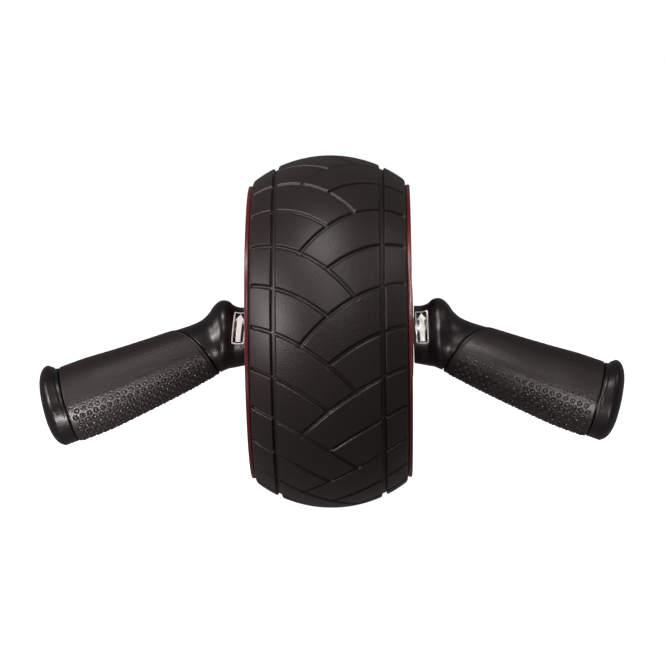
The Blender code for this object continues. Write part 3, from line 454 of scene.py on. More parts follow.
def tread_outline():
    """The tread's section, with the two ring grooves in it, as (place along the axle, radius)."""
    groove_edge = RING_LIP[0][0] * MM
    half = []
    steps = round((RING_GROOVE_OFFSET - groove_edge) / TREAD_STEP)
    half += [((RING_GROOVE_OFFSET - groove_edge) * k / steps, 0.0) for k in range(1, steps)]
    half += [(RING_GROOVE_OFFSET - across * MM, depth * MM) for across, depth in RING_LIP]
    half += [(RING_GROOVE_OFFSET + across * MM, depth * MM) for across, depth in reversed(RING_LIP)]
    lean = math.asin((TREAD_SIDE - SHOULDER_ROUND) / (CROWN_RADIUS - SHOULDER_ROUND))
    edge = TREAD_SIDE - SHOULDER_ROUND + SHOULDER_ROUND * math.sin(lean)
    start = RING_GROOVE_OFFSET + groove_edge
    steps = round((edge - start) / TREAD_STEP)
    half += [(start + (edge - start) * k / steps, 0.0) for k in range(1, steps + 1)]
    half = [(x, crown(x) - depth) for x, depth in half]
    centre = crown(edge) - SHOULDER_ROUND * math.cos(lean)
    for k in range(1, SHOULDER_ROWS + 1):
        turn = lean + (math.pi / 2 - lean) * k / SHOULDER_ROWS
        half.append((TREAD_SIDE - SHOULDER_ROUND + SHOULDER_ROUND * math.sin(turn),
                     centre + SHOULDER_ROUND * math.cos(turn)))
    inner = crown(TREAD_SIDE) - TREAD_THICKNESS
    half += [(TREAD_SIDE, inner + INNER_EDGE), (TREAD_SIDE - INNER_EDGE, inner + INNER_EDGE / 4)]
    places_inside = [TREAD_SIDE * k / INNER_ROWS for k in range(INNER_ROWS - 1, 0, -1)]
    half += [(x, crown(x) - TREAD_THICKNESS) for x in places_inside]
    outline = [(0.0, crown(0.0))] + half + [(0.0, crown(0.0) - TREAD_THICKNESS)]
    return outline + [(-x, r) for x, r in reversed(half)]


def on_tread(x, up, rise):
    """A point over the crown: x from the middle, up round the tread from its front, rise above it."""
    lean = math.asin(max(-1.0, min(1.0, x / CROWN_RADIUS)))
    radius = crown(x) + rise * math.cos(lean)
    turn = up / WHEEL_RADIUS
    return AXLE + Vector((x + rise * math.sin(lean), -radius * math.cos(turn), radius * math.sin(turn)))


def cross_groove_cutters(side, end, phase, extra):
    """One set of grooves: a bar with the groove's section, bent to its arc and wrapped on the crown."""
    first = math.asin((CROSS_SWEEP_CENTRE - CROSS_OUTER) / CROSS_SWEEP_RADIUS)
    last = math.asin((CROSS_SWEEP_CENTRE + end) / CROSS_SWEEP_RADIUS)
    floor_length = (last - first) * CROSS_SWEEP_RADIUS
    floor_half = CROSS_LIP[-1][0] * MM
    levels = [(CROSS_LIP[0][0] * MM, -CUTTER_HEIGHT)]
    levels += [(across * MM, depth * MM) for across, depth in CROSS_LIP]
    levels[-1] = (floor_half, levels[-1][1] + extra)
    sizes = [(floor_length + 2 * (half - floor_half), 2 * half) for half, _ in levels]
    bpy.ops.object.select_all(action="DESELECT")
    bpy.ops.mesh.primitive_grid_add(x_subdivisions=CUTTER_ROWS, y_subdivisions=1, size=1,
                                    location=(0, 0, CUTTER_HEIGHT))
    bar = bpy.context.object
    bar.scale = (*sizes[0], 1)
    bpy.ops.object.transform_apply()
    bpy.ops.object.mode_set(mode="EDIT")
    bpy.ops.mesh.select_all(action="SELECT")
    for k in range(1, len(levels)):
        drop = levels[k - 1][1] - levels[k][1]
        bpy.ops.mesh.extrude_region_move(TRANSFORM_OT_translate={"value": (0, 0, drop)})
        bpy.ops.transform.resize(center_override=(0, 0, 0), value=(
            sizes[k][0] / sizes[k - 1][0], sizes[k][1] / sizes[k - 1][1], 1))
    bpy.ops.object.mode_set(mode="OBJECT")
    at_ring = math.sqrt(CROSS_SWEEP_RADIUS**2 - (CROSS_SWEEP_CENTRE - RING_GROOVE_OFFSET) ** 2)
    for corner in bar.data.vertices:
        turn = (first + last) / 2 + corner.co.x / CROSS_SWEEP_RADIUS
        reach = CROSS_SWEEP_RADIUS + corner.co.y
        x = reach * math.sin(turn) - CROSS_SWEEP_CENTRE
        up = reach * math.cos(turn) - at_ring + phase + PATTERN_TURN * WHEEL_RADIUS
        corner.co = on_tread(side * x, up, corner.co.z)
    bpy.ops.object.mode_set(mode="EDIT")
    bpy.ops.mesh.select_all(action="SELECT")
    bpy.ops.mesh.spin(steps=PATTERN_REPEATS - 1, dupli=True, center=AXLE, axis=(1, 0, 0),
                      angle=2 * math.pi * (PATTERN_REPEATS - 1) / PATTERN_REPEATS)
    bpy.ops.mesh.select_all(action="SELECT")
    bpy.ops.mesh.quads_convert_to_tris()
    bpy.ops.mesh.normals_make_consistent(inside=False)
    bpy.ops.object.mode_set(mode="OBJECT")
    return bar


tread = turn_on_axle("grooved_tread", tread_outline(), TREAD_SIDES)
groove_sets = (
    (1, LONG_CROSS_END, 0.0), (-1, LONG_CROSS_END, PATTERN_PITCH / 2),
    (1, SHORT_CROSS_END, PATTERN_PITCH / 2), (-1, SHORT_CROSS_END, 0.0),
)
for number, (side, end, phase) in enumerate(groove_sets):
    # Each set is a little deeper than the one before, so that no two floors share a plane
    cutters = cross_groove_cutters(side, end, phase, number * DEEPER_EACH_SET * MM)
    combine(tread, cutters, "DIFFERENCE")
smooth(tread, 50)
apply_step(tread, "WEIGHTED_NORMAL", keep_sharp=True, weight=100)
settle(tread, moulded_rubber(), "tread_rubber", "wheel", "tread")

# Handle arms
# One arm each side, moulded in black ABS and polished: near black, with long soft reflections. A
# round neck faces the hub and rises to the thumb stop, and a slimmer core runs on under the grip
# into the end cap. The arm slides over the shaft's flats, and a cross pin from below holds it.

ARM_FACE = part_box("handle_arm_right")[0].x
NECK_RISE = 14.3 * MM
NECK_DROP = 18.5 * MM
NECK_DEPTH = 31.0 * MM
STOP_RISE = 18.5 * MM
STOP_OFFSET = 13.3 * MM
STOP_WIDTH = 9.0 * MM
STOP_SWELL = 3.0 * MM
# The thumb stop's sections: shares of the way out, of the rise or fall, and of the swell
STOP_CLIMB = ((0.0, 0.0, 0.0), (0.4, 0.3, 0.0), (0.67, 0.8, 0.45), (1.0, 1.0, 1.0))
STOP_FALL = ((0.09, 0.965, 0.95), (0.185, 0.82, 0.3), (0.28, 0.58, -0.2), (0.4, 0.385, -0.25),
             (0.57, 0.24, -0.15), (0.78, 0.115, 0.0))
UNDERSIDE_LAG = 0.86
UNDERSIDE_FALL = 0.42
UNDERSIDE_CURVE = 1.1
GRIP_START_OFFSET = 39.1 * MM
GRIP_START_DROP = 15.5 * MM
GRIP_LENGTH = 67.2 * MM
GRIP_INNER_DIAMETER = 34.4 * MM
GRIP_OUTER_DIAMETER = 43.0 * MM
GRIP_TAPER_SHARE = 0.8
# Slopes are degrees below level, a tilt is degrees off upright
GRIP_SLOPES = (22.8, 19.4)
ROUNDNESS = 0.94
BUTT_RIM = 7.7 * MM
BUTT_RIM_DIAMETER = 46.8 * MM
BUTT_SLOPE = 6.8
BUTT_TILT = 12.4
BUTT_FLARE = 0.42
BUTT_END_DEPTH = 7.1 * MM
BUTT_END_ROUNDING = 14.0 * MM
BUTT_END_ANGLES = (25, 52, 90)
BUTT_FOOT_SLOPE = 25.0
BUTT_FOOT_DEPTH = 0.2 * MM
WAIST_STATION = 15
GRIP_RUBBER = 3.0 * MM
CORE_GAP = 0.5 * MM
CORE_END_INSET = 0.5 * MM
SEAM_GAP = 0.7 * MM
GRIP_LOW_EDGE = 16.1 * MM
GRIP_EDGE_REACH = 29.0 * MM
GRIP_EDGE_POWER = 1.88
GRIP_EDGE_ROUNDING = 6.0
CAP_JOINT_OUT = 0.7 * MM
CAP_JOINT_LEAN = 5.6 * MM
CAP_JOINT_BOW = 0.2 * MM
CAP_LAP = 8.0 * MM
SHAFT_RADIUS = 7.5 * MM
SHAFT_HALF_FLAT = 5.5 * MM
SOCKET_GAP = 0.4 * MM
PIN_RADIUS = 2.0 * MM
PIN_HOLE_RUN_OUT = 5.0 * MM
ARM_COLUMNS = 96
ARM_ROWS = 64
CORE_ROWS = 20
ARM_LIP = 0.35 * MM
LIP_BEND = 0.3
FACE_EDGE = 0.3 * MM
PLACE_HALVINGS = 26


def grip_axis(length):
    """A point on the grip's gently curved axis, and its slope there."""
    steps = 12
    start, end = GRIP_SLOPES
    spot = Vector((ARM_FACE + GRIP_START_OFFSET, 0, AXLE.z - GRIP_START_DROP))
    for k in range(steps):
        slope = math.radians(start + (end - start) * (k + 0.5) / steps * length / GRIP_LENGTH)
        spot += Vector((math.cos(slope), 0, -math.sin(slope))) * length / steps
    return spot, start + (end - start) * length / GRIP_LENGTH


def station(centre, lean, height):
    """A leaning section: its centre, the way up to its top point and half its depth."""
    lean = math.radians(lean)
    return centre, Vector((math.sin(lean), 0, math.cos(lean))) * height / 2, height * ROUNDNESS / 2


def neck_station(top_x, top_z, low_x, low_z, depth):
    top = Vector((ARM_FACE + top_x, 0, AXLE.z + top_z))
    low = Vector((ARM_FACE + low_x, 0, AXLE.z + low_z))
    return (top + low) / 2, (top - low) / 2, depth / 2


def handle_stations():
    """The handle's sections from the hub to the end face: neck, thumb stop, grip and butt."""
    start, slope = grip_axis(0.0)
    up = station(start, slope, GRIP_INNER_DIAMETER)[1]
    top, low = start + up, start - up
    top_x, low_x = top.x - ARM_FACE, low.x - ARM_FACE
    top_z, low_z = top.z - AXLE.z, low.z - AXLE.z
    rows = [neck_station(0, NECK_RISE, 0, -NECK_DROP, NECK_DEPTH)]
    for share, rise, swell in STOP_CLIMB:
        x = STOP_OFFSET - STOP_WIDTH * (1 - share)
        under_z = -NECK_DROP + (low_z + NECK_DROP) * UNDERSIDE_FALL * x / low_x
        rows.append(neck_station(x, NECK_RISE + (STOP_RISE - NECK_RISE) * rise, x * UNDERSIDE_LAG,
                                 under_z, NECK_DEPTH + STOP_SWELL * swell))
    peak_x, peak_z = STOP_OFFSET * UNDERSIDE_LAG, under_z
    for share, rise, swell in STOP_FALL:
        depth = NECK_DEPTH + (GRIP_INNER_DIAMETER * ROUNDNESS - NECK_DEPTH) * share
        rows.append(neck_station(
            STOP_OFFSET + (top_x - STOP_OFFSET) * share, top_z + (STOP_RISE - top_z) * rise,
            peak_x + (low_x - peak_x) * share, peak_z + (low_z - peak_z) * share**UNDERSIDE_CURVE,
            depth + STOP_SWELL * swell))
    for share in (0.0, 0.25, 0.5, 0.75, 1.0):
        spot, slope = grip_axis(GRIP_LENGTH * share)
        growth = min(1, share / GRIP_TAPER_SHARE)
        rows.append(station(spot, slope, GRIP_INNER_DIAMETER
                            + (GRIP_OUTER_DIAMETER - GRIP_INNER_DIAMETER) * growth))
    half_way = GRIP_OUTER_DIAMETER + (BUTT_RIM_DIAMETER - GRIP_OUTER_DIAMETER) * BUTT_FLARE
    rows += [butt_station(BUTT_RIM / 2, half_way), butt_station(BUTT_RIM, BUTT_RIM_DIAMETER)]
    return rows + [butt_end_station(angle) for angle in BUTT_END_ANGLES]


def butt_station(length, height):
    """A section of the butt, this far out from the waist."""
    waist, slope = grip_axis(GRIP_LENGTH)
    along = math.radians(BUTT_SLOPE)
    out = Vector((math.cos(along), 0, -math.sin(along)))
    lean = slope + (BUTT_TILT - slope) * min(1, length / BUTT_RIM)
    return station(waist + out * length, lean, height)


def butt_end_station(angle):
    """A section of the butt's rounded end, at this part of its quarter round from the rim."""
    angle = math.radians(angle)
    height = BUTT_RIM_DIAMETER - 2 * BUTT_END_ROUNDING * (1 - math.cos(angle))
    return butt_station(BUTT_RIM + BUTT_END_DEPTH * math.sin(angle), height)


def section(t):
    """The section at a place between two stations, on a smooth curve through all of them."""
    first = min(int(t), len(stations) - 2)
    part = t - first
    picks = [stations[max(0, min(len(stations) - 1, first + k))] for k in (-1, 0, 1, 2)]
    weights = ((-part + 2 * part**2 - part**3) / 2, (2 - 5 * part**2 + 3 * part**3) / 2,
               (part + 4 * part**2 - 3 * part**3) / 2, (-(part**2) + part**3) / 2)
    centre = sum((w * row[0] for w, row in zip(weights, picks)), Vector())
    up = sum((w * row[1] for w, row in zip(weights, picks)), Vector())
    return centre, up, sum(w * row[2] for w, row in zip(weights, picks))


def on_section(cut, turn, inset):
    """A point of a section, or one that far inside it; turn runs from the front, upwards."""
    centre, up, depth = cut
    high = up * (1 - inset / up.length)
    return centre + high * math.sin(turn) + Vector((0, inset - depth, 0)) * math.cos(turn)


def handle_point(t, turn, inset=0.0):
    return on_section(section(t), turn, inset)


def place_at(turn, x):
    """Where along the handle its surface reaches x, at this turn."""
    low, high = 0.0, float(len(stations) - 1)
    for _ in range(PLACE_HALVINGS):
        middle = (low + high) / 2
        if handle_point(middle, turn).x < x:
            low = middle
        else:
            high = middle
    return (low + high) / 2


def grip_edge(turn):
    """The arched inner edge of the grip: x on the surface at this turn."""
    from_top = math.degrees(math.acos(max(-1.0, min(1.0, math.sin(turn)))))
    share = max(0.0, 1 - math.hypot(from_top, GRIP_EDGE_ROUNDING) / 180)
    return ARM_FACE + GRIP_LOW_EDGE + GRIP_EDGE_REACH * share**GRIP_EDGE_POWER


def joint_edge(turn):
    """The bowed joint between grip and cap: x on the surface at this turn."""
    waist = stations[WAIST_STATION][0].x
    return waist + CAP_JOINT_OUT + CAP_JOINT_LEAN * math.sin(turn) + CAP_JOINT_BOW * math.cos(turn) ** 2


def turns(columns):
    return [2 * math.pi * k / columns for k in range(columns)]


def places(edge, columns, shift):
    """Where an edge runs along the handle, at every column, moved outwards by the shift."""
    return [place_at(turn, edge(turn) + shift) for turn in turns(columns)]


def ring(spots, inset=0.0):
    return [handle_point(t, turn, inset) for t, turn in zip(spots, turns(len(spots)))]


def between(first, second, share):
    return [a + (b - a) * share for a, b in zip(first, second)]


def roll_sheet(name, rings):
    """Rolls a flat grid into a tube: every column of it takes its points from the rings in turn."""
    bpy.ops.object.select_all(action="DESELECT")
    columns, rows = len(rings[0]), len(rings) - 1
    bpy.ops.mesh.primitive_grid_add(x_subdivisions=rows, y_subdivisions=columns, size=2)
    sheet = bpy.context.object
    sheet.name = name
    for point in sheet.data.vertices:
        row = round((point.co.x + 1) / 2 * rows)
        column = round((point.co.y + 1) / 2 * columns) % columns
        point.co = rings[row][column]
    close_mesh(sheet, 0.002 * MM)
    return sheet


def mirror_copy(piece, name):
    """The same piece for the left side, with a mesh of its own and its faces turned out again."""
    other = piece.copy()
    other.data = piece.data.copy()
    other.name = name
    bpy.context.scene.collection.objects.link(other)
    other.data.transform(Matrix.Diagonal((-1, 1, 1, 1)))
    other.data.flip_normals()
    return other


def polished_black_abs():
    finish, tree, shader = new_finish("polished_black_abs", "#0c0b0c", IOR=1.53)
    place = add_node(tree, "TexCoord")
    ripple = add_node(tree, "TexNoise", {"Vector": place.outputs["Object"], "Scale": 220.0})
    shade_from(tree, shader, ripple.outputs["Fac"], (0.27, 0.35), 0.01 * MM)
    return finish


stations = handle_stations()
face_centre = stations[0][0]
seam = places(grip_edge, ARM_COLUMNS, -SEAM_GAP / 2)
lip = places(grip_edge, ARM_COLUMNS, -SEAM_GAP / 2 - ARM_LIP)
under_start = places(grip_edge, ARM_COLUMNS, 0.0)
under_end = places(joint_edge, ARM_COLUMNS, 0.0)
core = GRIP_RUBBER + CORE_GAP
face = [0.0] * ARM_COLUMNS
edge_in = [place_at(turn, ARM_FACE + LIP_BEND * FACE_EDGE) for turn in turns(ARM_COLUMNS)]
edge_out = [place_at(turn, ARM_FACE + FACE_EDGE) for turn in turns(ARM_COLUMNS)]
rings = [[face_centre] * ARM_COLUMNS, ring(face, FACE_EDGE), ring(edge_in, LIP_BEND * FACE_EDGE)]
rings += [ring(between(edge_out, lip, k / ARM_ROWS)) for k in range(ARM_ROWS + 1)]
rings += [ring(between(lip, seam, 1 - LIP_BEND), LIP_BEND * ARM_LIP)]
rings += [ring(seam, ARM_LIP), ring(seam, core)]
rings += [ring(between(under_start, under_end, k / CORE_ROWS), core) for k in range(1, CORE_ROWS)]
core_end = butt_station(CAP_LAP, GRIP_OUTER_DIAMETER)
rings.append([on_section(core_end, turn, core + CORE_END_INSET) for turn in turns(ARM_COLUMNS)])
rings.append([core_end[0]] * ARM_COLUMNS)
arm = roll_sheet("arm_right", rings)
socket_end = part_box("axle_shaft")[1].x + SEAT_GAP
socket = along_axle(ARM_FACE - MM, socket_end, SHAFT_RADIUS + SOCKET_GAP, 0, 0, sides=64)
flat = SHAFT_HALF_FLAT + SOCKET_GAP
for corner in socket.data.vertices:
    corner.co.y = max(-flat, min(flat, corner.co.y))
combine(arm, socket, "DIFFERENCE")
pin_low, pin_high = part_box("arm_pin_right")
hole_top = pin_high.z + SEAT_GAP
hole_mouth = AXLE.z - NECK_DROP - PIN_HOLE_RUN_OUT
bpy.ops.mesh.primitive_cylinder_add(
    vertices=32, radius=PIN_RADIUS + SEAT_GAP, depth=hole_top - hole_mouth,
    location=((pin_low.x + pin_high.x) / 2, 0, (hole_top + hole_mouth) / 2))
pin_hole = bpy.context.object
bpy.ops.object.transform_apply()
combine(arm, pin_hole, "DIFFERENCE")
smooth(arm, 40)
black_abs = polished_black_abs()
settle(mirror_copy(arm, "arm_left"), black_abs, "arm_gloss", "handles", "handle_arm_left")
settle(arm, black_abs, "arm_gloss", "handles", "handle_arm_right")

# Grips
# Sleeves moulded in soft thermoplastic rubber, a satin charcoal, round the arm's core. Rows of small
# round knobs cover them, bold on the underside and nearly flat on top, each in a ring groove that is
# painted darker as painted shade. Both ends are plain, and a fine groove, painted dark the same way,
# runs along the arched edge at the thumb stop.

GRIP_PROUD = 0.4 * MM
GRIP_LIP = 0.6 * MM
KNOB_PITCH = 4.2 * MM
KNOB_ROWS = 36
KNOB_RADIUS = 1.6 * MM
KNOB_RISE = 0.6 * MM
KNOB_MARGIN = 2.4 * MM
BORDER_WIDTH = 1.4 * MM
FLAT_KNOBS = 0.12
BOLD_BELOW = 0.05
BOLD_RUN = 0.45
MESH_PER_KNOB = 8
GRIP_COLUMNS = KNOB_ROWS * MESH_PER_KNOB
BORE_ROWS = 20
# The pattern's own sizes are in millimetres: two rows take 6.9 mm round the middle of the grip
TWO_ROWS = 6.9
RING_RADIUS = 1.35
RING_HALF_WIDTH = 0.5
BORDER_HALF_WIDTH = 0.35
RING_SINK = 0.92
GRAIN_RISE = 0.08


def knob_distance(tree, place, shift):
    """How far, in millimetres, the nearest knob of every other row lies from a place on the sleeve."""
    cell = add_node(tree, "Mapping", {
        "Vector": place, "Location": (shift, shift, 0), "Scale": (1, 0.5, 1)})
    part = add_node(tree, "VectorMath", [(0, cell.outputs["Vector"])], operation="FRACTION")
    middle = add_node(tree, "VectorMath", [(0, part.outputs["Vector"]), (1, (0.5, 0.5, 0))],
                      operation="SUBTRACT")
    cell_size = (KNOB_PITCH / MM, TWO_ROWS, 0)
    sized = add_node(tree, "VectorMath", [(0, middle.outputs["Vector"]), (1, cell_size)],
                     operation="MULTIPLY")
    return add_node(tree, "VectorMath", [(0, sized.outputs["Vector"])], operation="LENGTH")


def soft_rubber():
    finish, tree, shader = new_finish("soft_thermoplastic_rubber", "#201b19", IOR=1.5)
    place = add_node(tree, "TexCoord")
    even = knob_distance(tree, place.outputs["UV"], 0.5)
    odd = knob_distance(tree, place.outputs["UV"], 0.0)
    near = add_node(tree, "Math", [(0, even.outputs["Value"]), (1, odd.outputs["Value"])],
                    operation="MINIMUM")
    off = add_node(tree, "Math", [(0, near.outputs["Value"]), (1, RING_RADIUS)], operation="SUBTRACT")
    away = add_node(tree, "Math", [(0, off.outputs["Value"])], operation="ABSOLUTE")
    groove = add_node(tree, "MapRange", {"Value": away.outputs["Value"], "From Max": RING_HALF_WIDTH,
                                         "To Min": 1.0, "To Max": 0.0}, interpolation_type="SMOOTHSTEP")
    relief = add_node(tree, "Attribute", attribute_name="relief")
    rings = add_node(tree, "Math", [(0, groove.outputs["Result"]), (1, relief.outputs["Fac"])],
                     operation="MULTIPLY")
    border = add_node(tree, "Attribute", attribute_name="border")
    beside = add_node(tree, "Math", [(0, border.outputs["Fac"]), (1, BORDER_WIDTH / MM)],
                      operation="SUBTRACT")
    aside = add_node(tree, "Math", [(0, beside.outputs["Value"])], operation="ABSOLUTE")
    line = add_node(tree, "MapRange", {"Value": aside.outputs["Value"], "From Max": BORDER_HALF_WIDTH,
                                       "To Min": 1.0, "To Max": 0.0}, interpolation_type="SMOOTHSTEP")
    groove_depth_and_shade = add_node(tree, "Math", [(0, rings.outputs["Value"]), (1, line.outputs["Result"])],
                    operation="MAXIMUM")
    # Painted shade: the ring grooves, darker where the knobs are bold, and the groove along the arched
    # edge are coloured darker than the rubber round them
    tint = add_node(tree, "Mix", {"Factor": groove_depth_and_shade.outputs["Value"]}, data_type="RGBA")
    tint.inputs["A"].default_value = linear("#201b19")
    tint.inputs["B"].default_value = linear("#0c0a09")
    tree.links.new(tint.outputs["Result"], shader.inputs["Base Color"])
    # The real grain is about 0.1 mm, drawn at 0.5 mm so that it shows
    grain = add_node(tree, "TexNoise", {"Vector": place.outputs["Object"], "Scale": 2000.0})
    height = add_node(tree, "Math", [(0, groove_depth_and_shade.outputs["Value"]), (1, -RING_SINK), (2, RING_SINK)],
                      operation="MULTIPLY_ADD")
    grained = [(0, grain.outputs["Fac"]), (1, GRAIN_RISE), (2, height.outputs["Value"])]
    rough = add_node(tree, "Math", grained, operation="MULTIPLY_ADD")
    shade_from(tree, shader, rough.outputs["Value"], (0.54, 0.4), 0.3 * MM)
    return finish


def low_line_lengths(start, end, steps):
    """How far along the grip's lowest line the places between two stations lie."""
    spots = [start + (end - start) * k / steps for k in range(steps + 1)]
    points = [handle_point(t, -math.pi / 2) for t in spots]
    lengths = [0.0]
    for first, second in zip(points, points[1:]):
        lengths.append(lengths[-1] + (second - first).length)
    return spots, lengths


def look_up(value, keys, values):
    """Reads a value between the entries of a rising table."""
    low, high = 0, len(keys) - 1
    while high - low > 1:
        middle = (low + high) // 2
        if keys[middle] <= value:
            low = middle
        else:
            high = middle
    share = (value - keys[low]) / (keys[high] - keys[low])
    return values[low] + (values[high] - values[low]) * share


def boldness(turn):
    """How bold the knobs are at this turn: fully on the underside, nearly flat on top."""
    share = max(0.0, min(1.0, (BOLD_BELOW - math.sin(turn)) / BOLD_RUN))
    return FLAT_KNOBS + (1 - FLAT_KNOBS) * share * share * (3 - 2 * share)


def nearest_knob(length, column):
    """How far the nearest knob is, or nothing where that one would come too near an edge."""
    found = []
    nearest = round(column / MESH_PER_KNOB)
    for row in (nearest - 1, nearest, nearest + 1):
        shift = KNOB_PITCH / 2 if row % 2 else 0.0
        middle = round((length - shift) / KNOB_PITCH) * KNOB_PITCH + shift
        across = (column - row * MESH_PER_KNOB) * column_width
        found.append((math.hypot(length - middle, across), middle, row * MESH_PER_KNOB % GRIP_COLUMNS))
    away, middle, place = min(found)
    if grip_starts[place] + KNOB_MARGIN < middle < grip_ends[place] - KNOB_MARGIN:
        return away
    return None


grip_in = places(grip_edge, GRIP_COLUMNS, SEAM_GAP / 2)
grip_in_lip = places(grip_edge, GRIP_COLUMNS, SEAM_GAP / 2 + GRIP_LIP)
grip_out = places(joint_edge, GRIP_COLUMNS, -SEAM_GAP / 2)
grip_out_lip = places(joint_edge, GRIP_COLUMNS, -SEAM_GAP / 2 - GRIP_LIP)
grip_spots, grip_lengths = low_line_lengths(min(grip_in), max(grip_out), steps=400)
grip_starts = [look_up(t, grip_spots, grip_lengths) for t in grip_in]
grip_ends = [look_up(t, grip_spots, grip_lengths) for t in grip_out]
column_width = math.pi * GRIP_OUTER_DIAMETER / GRIP_COLUMNS
step = KNOB_PITCH / MESH_PER_KNOB
rows = []
for k in range(int(max(grip_ends) / step) + 1):
    t = look_up(k * step, grip_lengths, grip_spots)
    row = []
    for column, turn in enumerate(turns(GRIP_COLUMNS)):
        spot = max(grip_in_lip[column], min(grip_out_lip[column], t))
        away = nearest_knob(k * step, column) if spot == t else None
        share = 0.0 if away is None else max(0.0, 1 - (away / KNOB_RADIUS) ** 2)
        row.append(handle_point(spot, turn, -GRIP_PROUD - KNOB_RISE * boldness(turn) * share**2))
    rows.append(row)
bore = [ring(between(grip_out, grip_in, k / BORE_ROWS), GRIP_RUBBER) for k in range(BORE_ROWS + 1)]
bend = LIP_BEND * GRIP_LIP - GRIP_PROUD
inner_lip = [ring(grip_in, GRIP_LIP - GRIP_PROUD), ring(between(grip_in, grip_in_lip, LIP_BEND), bend)]
outer_lip = [ring(between(grip_out, grip_out_lip, LIP_BEND), bend),
             ring(grip_out, GRIP_LIP - GRIP_PROUD)]
rings = bore + inner_lip + rows + outer_lip + bore[:1]
grip = roll_sheet("grip_sleeve_right", rings)
first_row = len(bore + inner_lip)
sleeve = grip.data.uv_layers.active.data
relief = grip.data.attributes.new("relief", "FLOAT", "POINT")
border = grip.data.attributes.new("border", "FLOAT", "POINT")
for corner, spot in zip(grip.data.loops, sleeve):
    # The texture's places are counted in knobs, along the grip and round it
    along = (round(spot.uv.x * (len(rings) - 1)) - first_row) / MESH_PER_KNOB
    spot.uv = (along, spot.uv.y * KNOB_ROWS)
    away = nearest_knob(along * KNOB_PITCH, round(spot.uv.y * MESH_PER_KNOB))
    bold = boldness(spot.uv.y / KNOB_ROWS * 2 * math.pi)
    relief.data[corner.vertex_index].value = 0.0 if away is None else bold
    column = round(spot.uv.y * MESH_PER_KNOB) % GRIP_COLUMNS
    climb = (grip_starts[column] - grip_starts[column - 1]) / column_width
    past_edge = (along * KNOB_PITCH - grip_starts[column]) / math.hypot(1, climb)
    border.data[corner.vertex_index].value = past_edge / MM
smooth(grip, 60)
grip_rubber = soft_rubber()
settle(mirror_copy(grip, "grip_sleeve_left"), grip_rubber, "grip_rubber", "handles", "grip_left")
settle(grip, grip_rubber, "grip_rubber", "handles", "grip_right")

# End caps
# Butt caps moulded in the same polished black ABS and glued over the end of the arm's core. Each
# flares from a narrow waist to a rim with a crisp edge. Its end is domed, with a small flat under it.

CAP_COLUMNS = 128
CAP_LIP = 0.4 * MM
CAP_FLOOR_ROUND = 1.5 * MM
CAP_END_ANGLES = (3, 6, 10, 15, 20, 26, 33, 41, 50, 60, 70, 80, 90)
FLARE_POWER = math.log(BUTT_FLARE) / math.log(0.5)


def cap_ring(cut):
    """A ring round a section, moved up to the flat of the foot where it lies under that."""
    rim = butt_station(BUTT_RIM, BUTT_RIM_DIAMETER)
    slope = math.radians(BUTT_FOOT_SLOPE)
    down = Vector((math.sin(slope), 0, -math.cos(slope)))
    foot = rim[0] - rim[1] - down * BUTT_FOOT_DEPTH
    points = [on_section(cut, turn, 0) for turn in turns(CAP_COLUMNS)]
    return [point - down * max(0.0, (point - foot).dot(down)) for point in points]


def flare_ring(length):
    """A ring of the band between waist and rim, which flares more and more."""
    growth = (length / BUTT_RIM) ** FLARE_POWER
    height = GRIP_OUTER_DIAMETER + (BUTT_RIM_DIAMETER - GRIP_OUTER_DIAMETER) * growth
    return cap_ring(butt_station(length, height))


joint = places(joint_edge, CAP_COLUMNS, SEAM_GAP / 2)
joint_lip = places(joint_edge, CAP_COLUMNS, SEAM_GAP / 2 + CAP_LIP)
mid_band = [WAIST_STATION + 1.0] * CAP_COLUMNS
floor_inside = butt_station(CAP_LAP + SOCKET_GAP, BUTT_RIM_DIAMETER)
rings = [[floor_inside[0]] * CAP_COLUMNS]
rings += [[on_section(floor_inside, turn, inset) for turn in turns(CAP_COLUMNS)]
          for inset in (GRIP_RUBBER + CAP_FLOOR_ROUND, GRIP_RUBBER)]
rings += [ring(between(mid_band, joint, k / 4), GRIP_RUBBER) for k in range(5)]
rings += [ring(joint, CAP_LIP), ring(between(joint, joint_lip, LIP_BEND), LIP_BEND * CAP_LIP)]
rings += [ring(between(joint_lip, mid_band, k / 10)) for k in range(10)]
rings += [flare_ring(BUTT_RIM * (0.5 + k / 16)) for k in range(9)]
rings += [cap_ring(butt_end_station(angle)) for angle in CAP_END_ANGLES]
end_centre = sum(rings[-1], Vector()) / CAP_COLUMNS
rings += [[point + (end_centre - point) * share for point in rings[-1]] for share in (0.15, 0.5, 1.0)]
cap = roll_sheet("butt_cap_right", rings)
smooth(cap, 12)
settle(mirror_copy(cap, "butt_cap_left"), black_abs, "arm_gloss", "handles", "end_cap_left")
settle(cap, black_abs, "arm_gloss", "handles", "end_cap_right")

# Arrow stickers
# Glossy black film with a frame and an arrow in matt white print, for the rolling direction, stuck
# on the front of each neck. The print stands proud, drawn thicker than ink so that it shows.

STICKER_WIDTH = 7.8 * MM
STICKER_HEIGHT = 20.0 * MM
STICKER_CORNER = 0.7 * MM
STICKER_INSET = 0.4 * MM
# Each side's middle in degrees up the neck from its front line, and the slant of its long edges
STICKER_PLACES = (("right", 20.7, 0.033), ("left", 23.0, 0.1))
FILM_LIFT = 0.1 * MM
FILM_THICKNESS = 0.15 * MM
PRINT_THICKNESS = 0.04 * MM
PATCH_ROWS = 10
FRAME_INSET = 0.35 * MM
FRAME_LINE = 0.6 * MM
ARROW_LENGTH = 16.6 * MM
ARROW_SHAFT = 2.7 * MM
ARROW_HEAD = 4.9 * MM
ARROW_HEAD_LENGTH = 4.6 * MM
NECK_RADIUS = (NECK_RISE + NECK_DROP) / 2


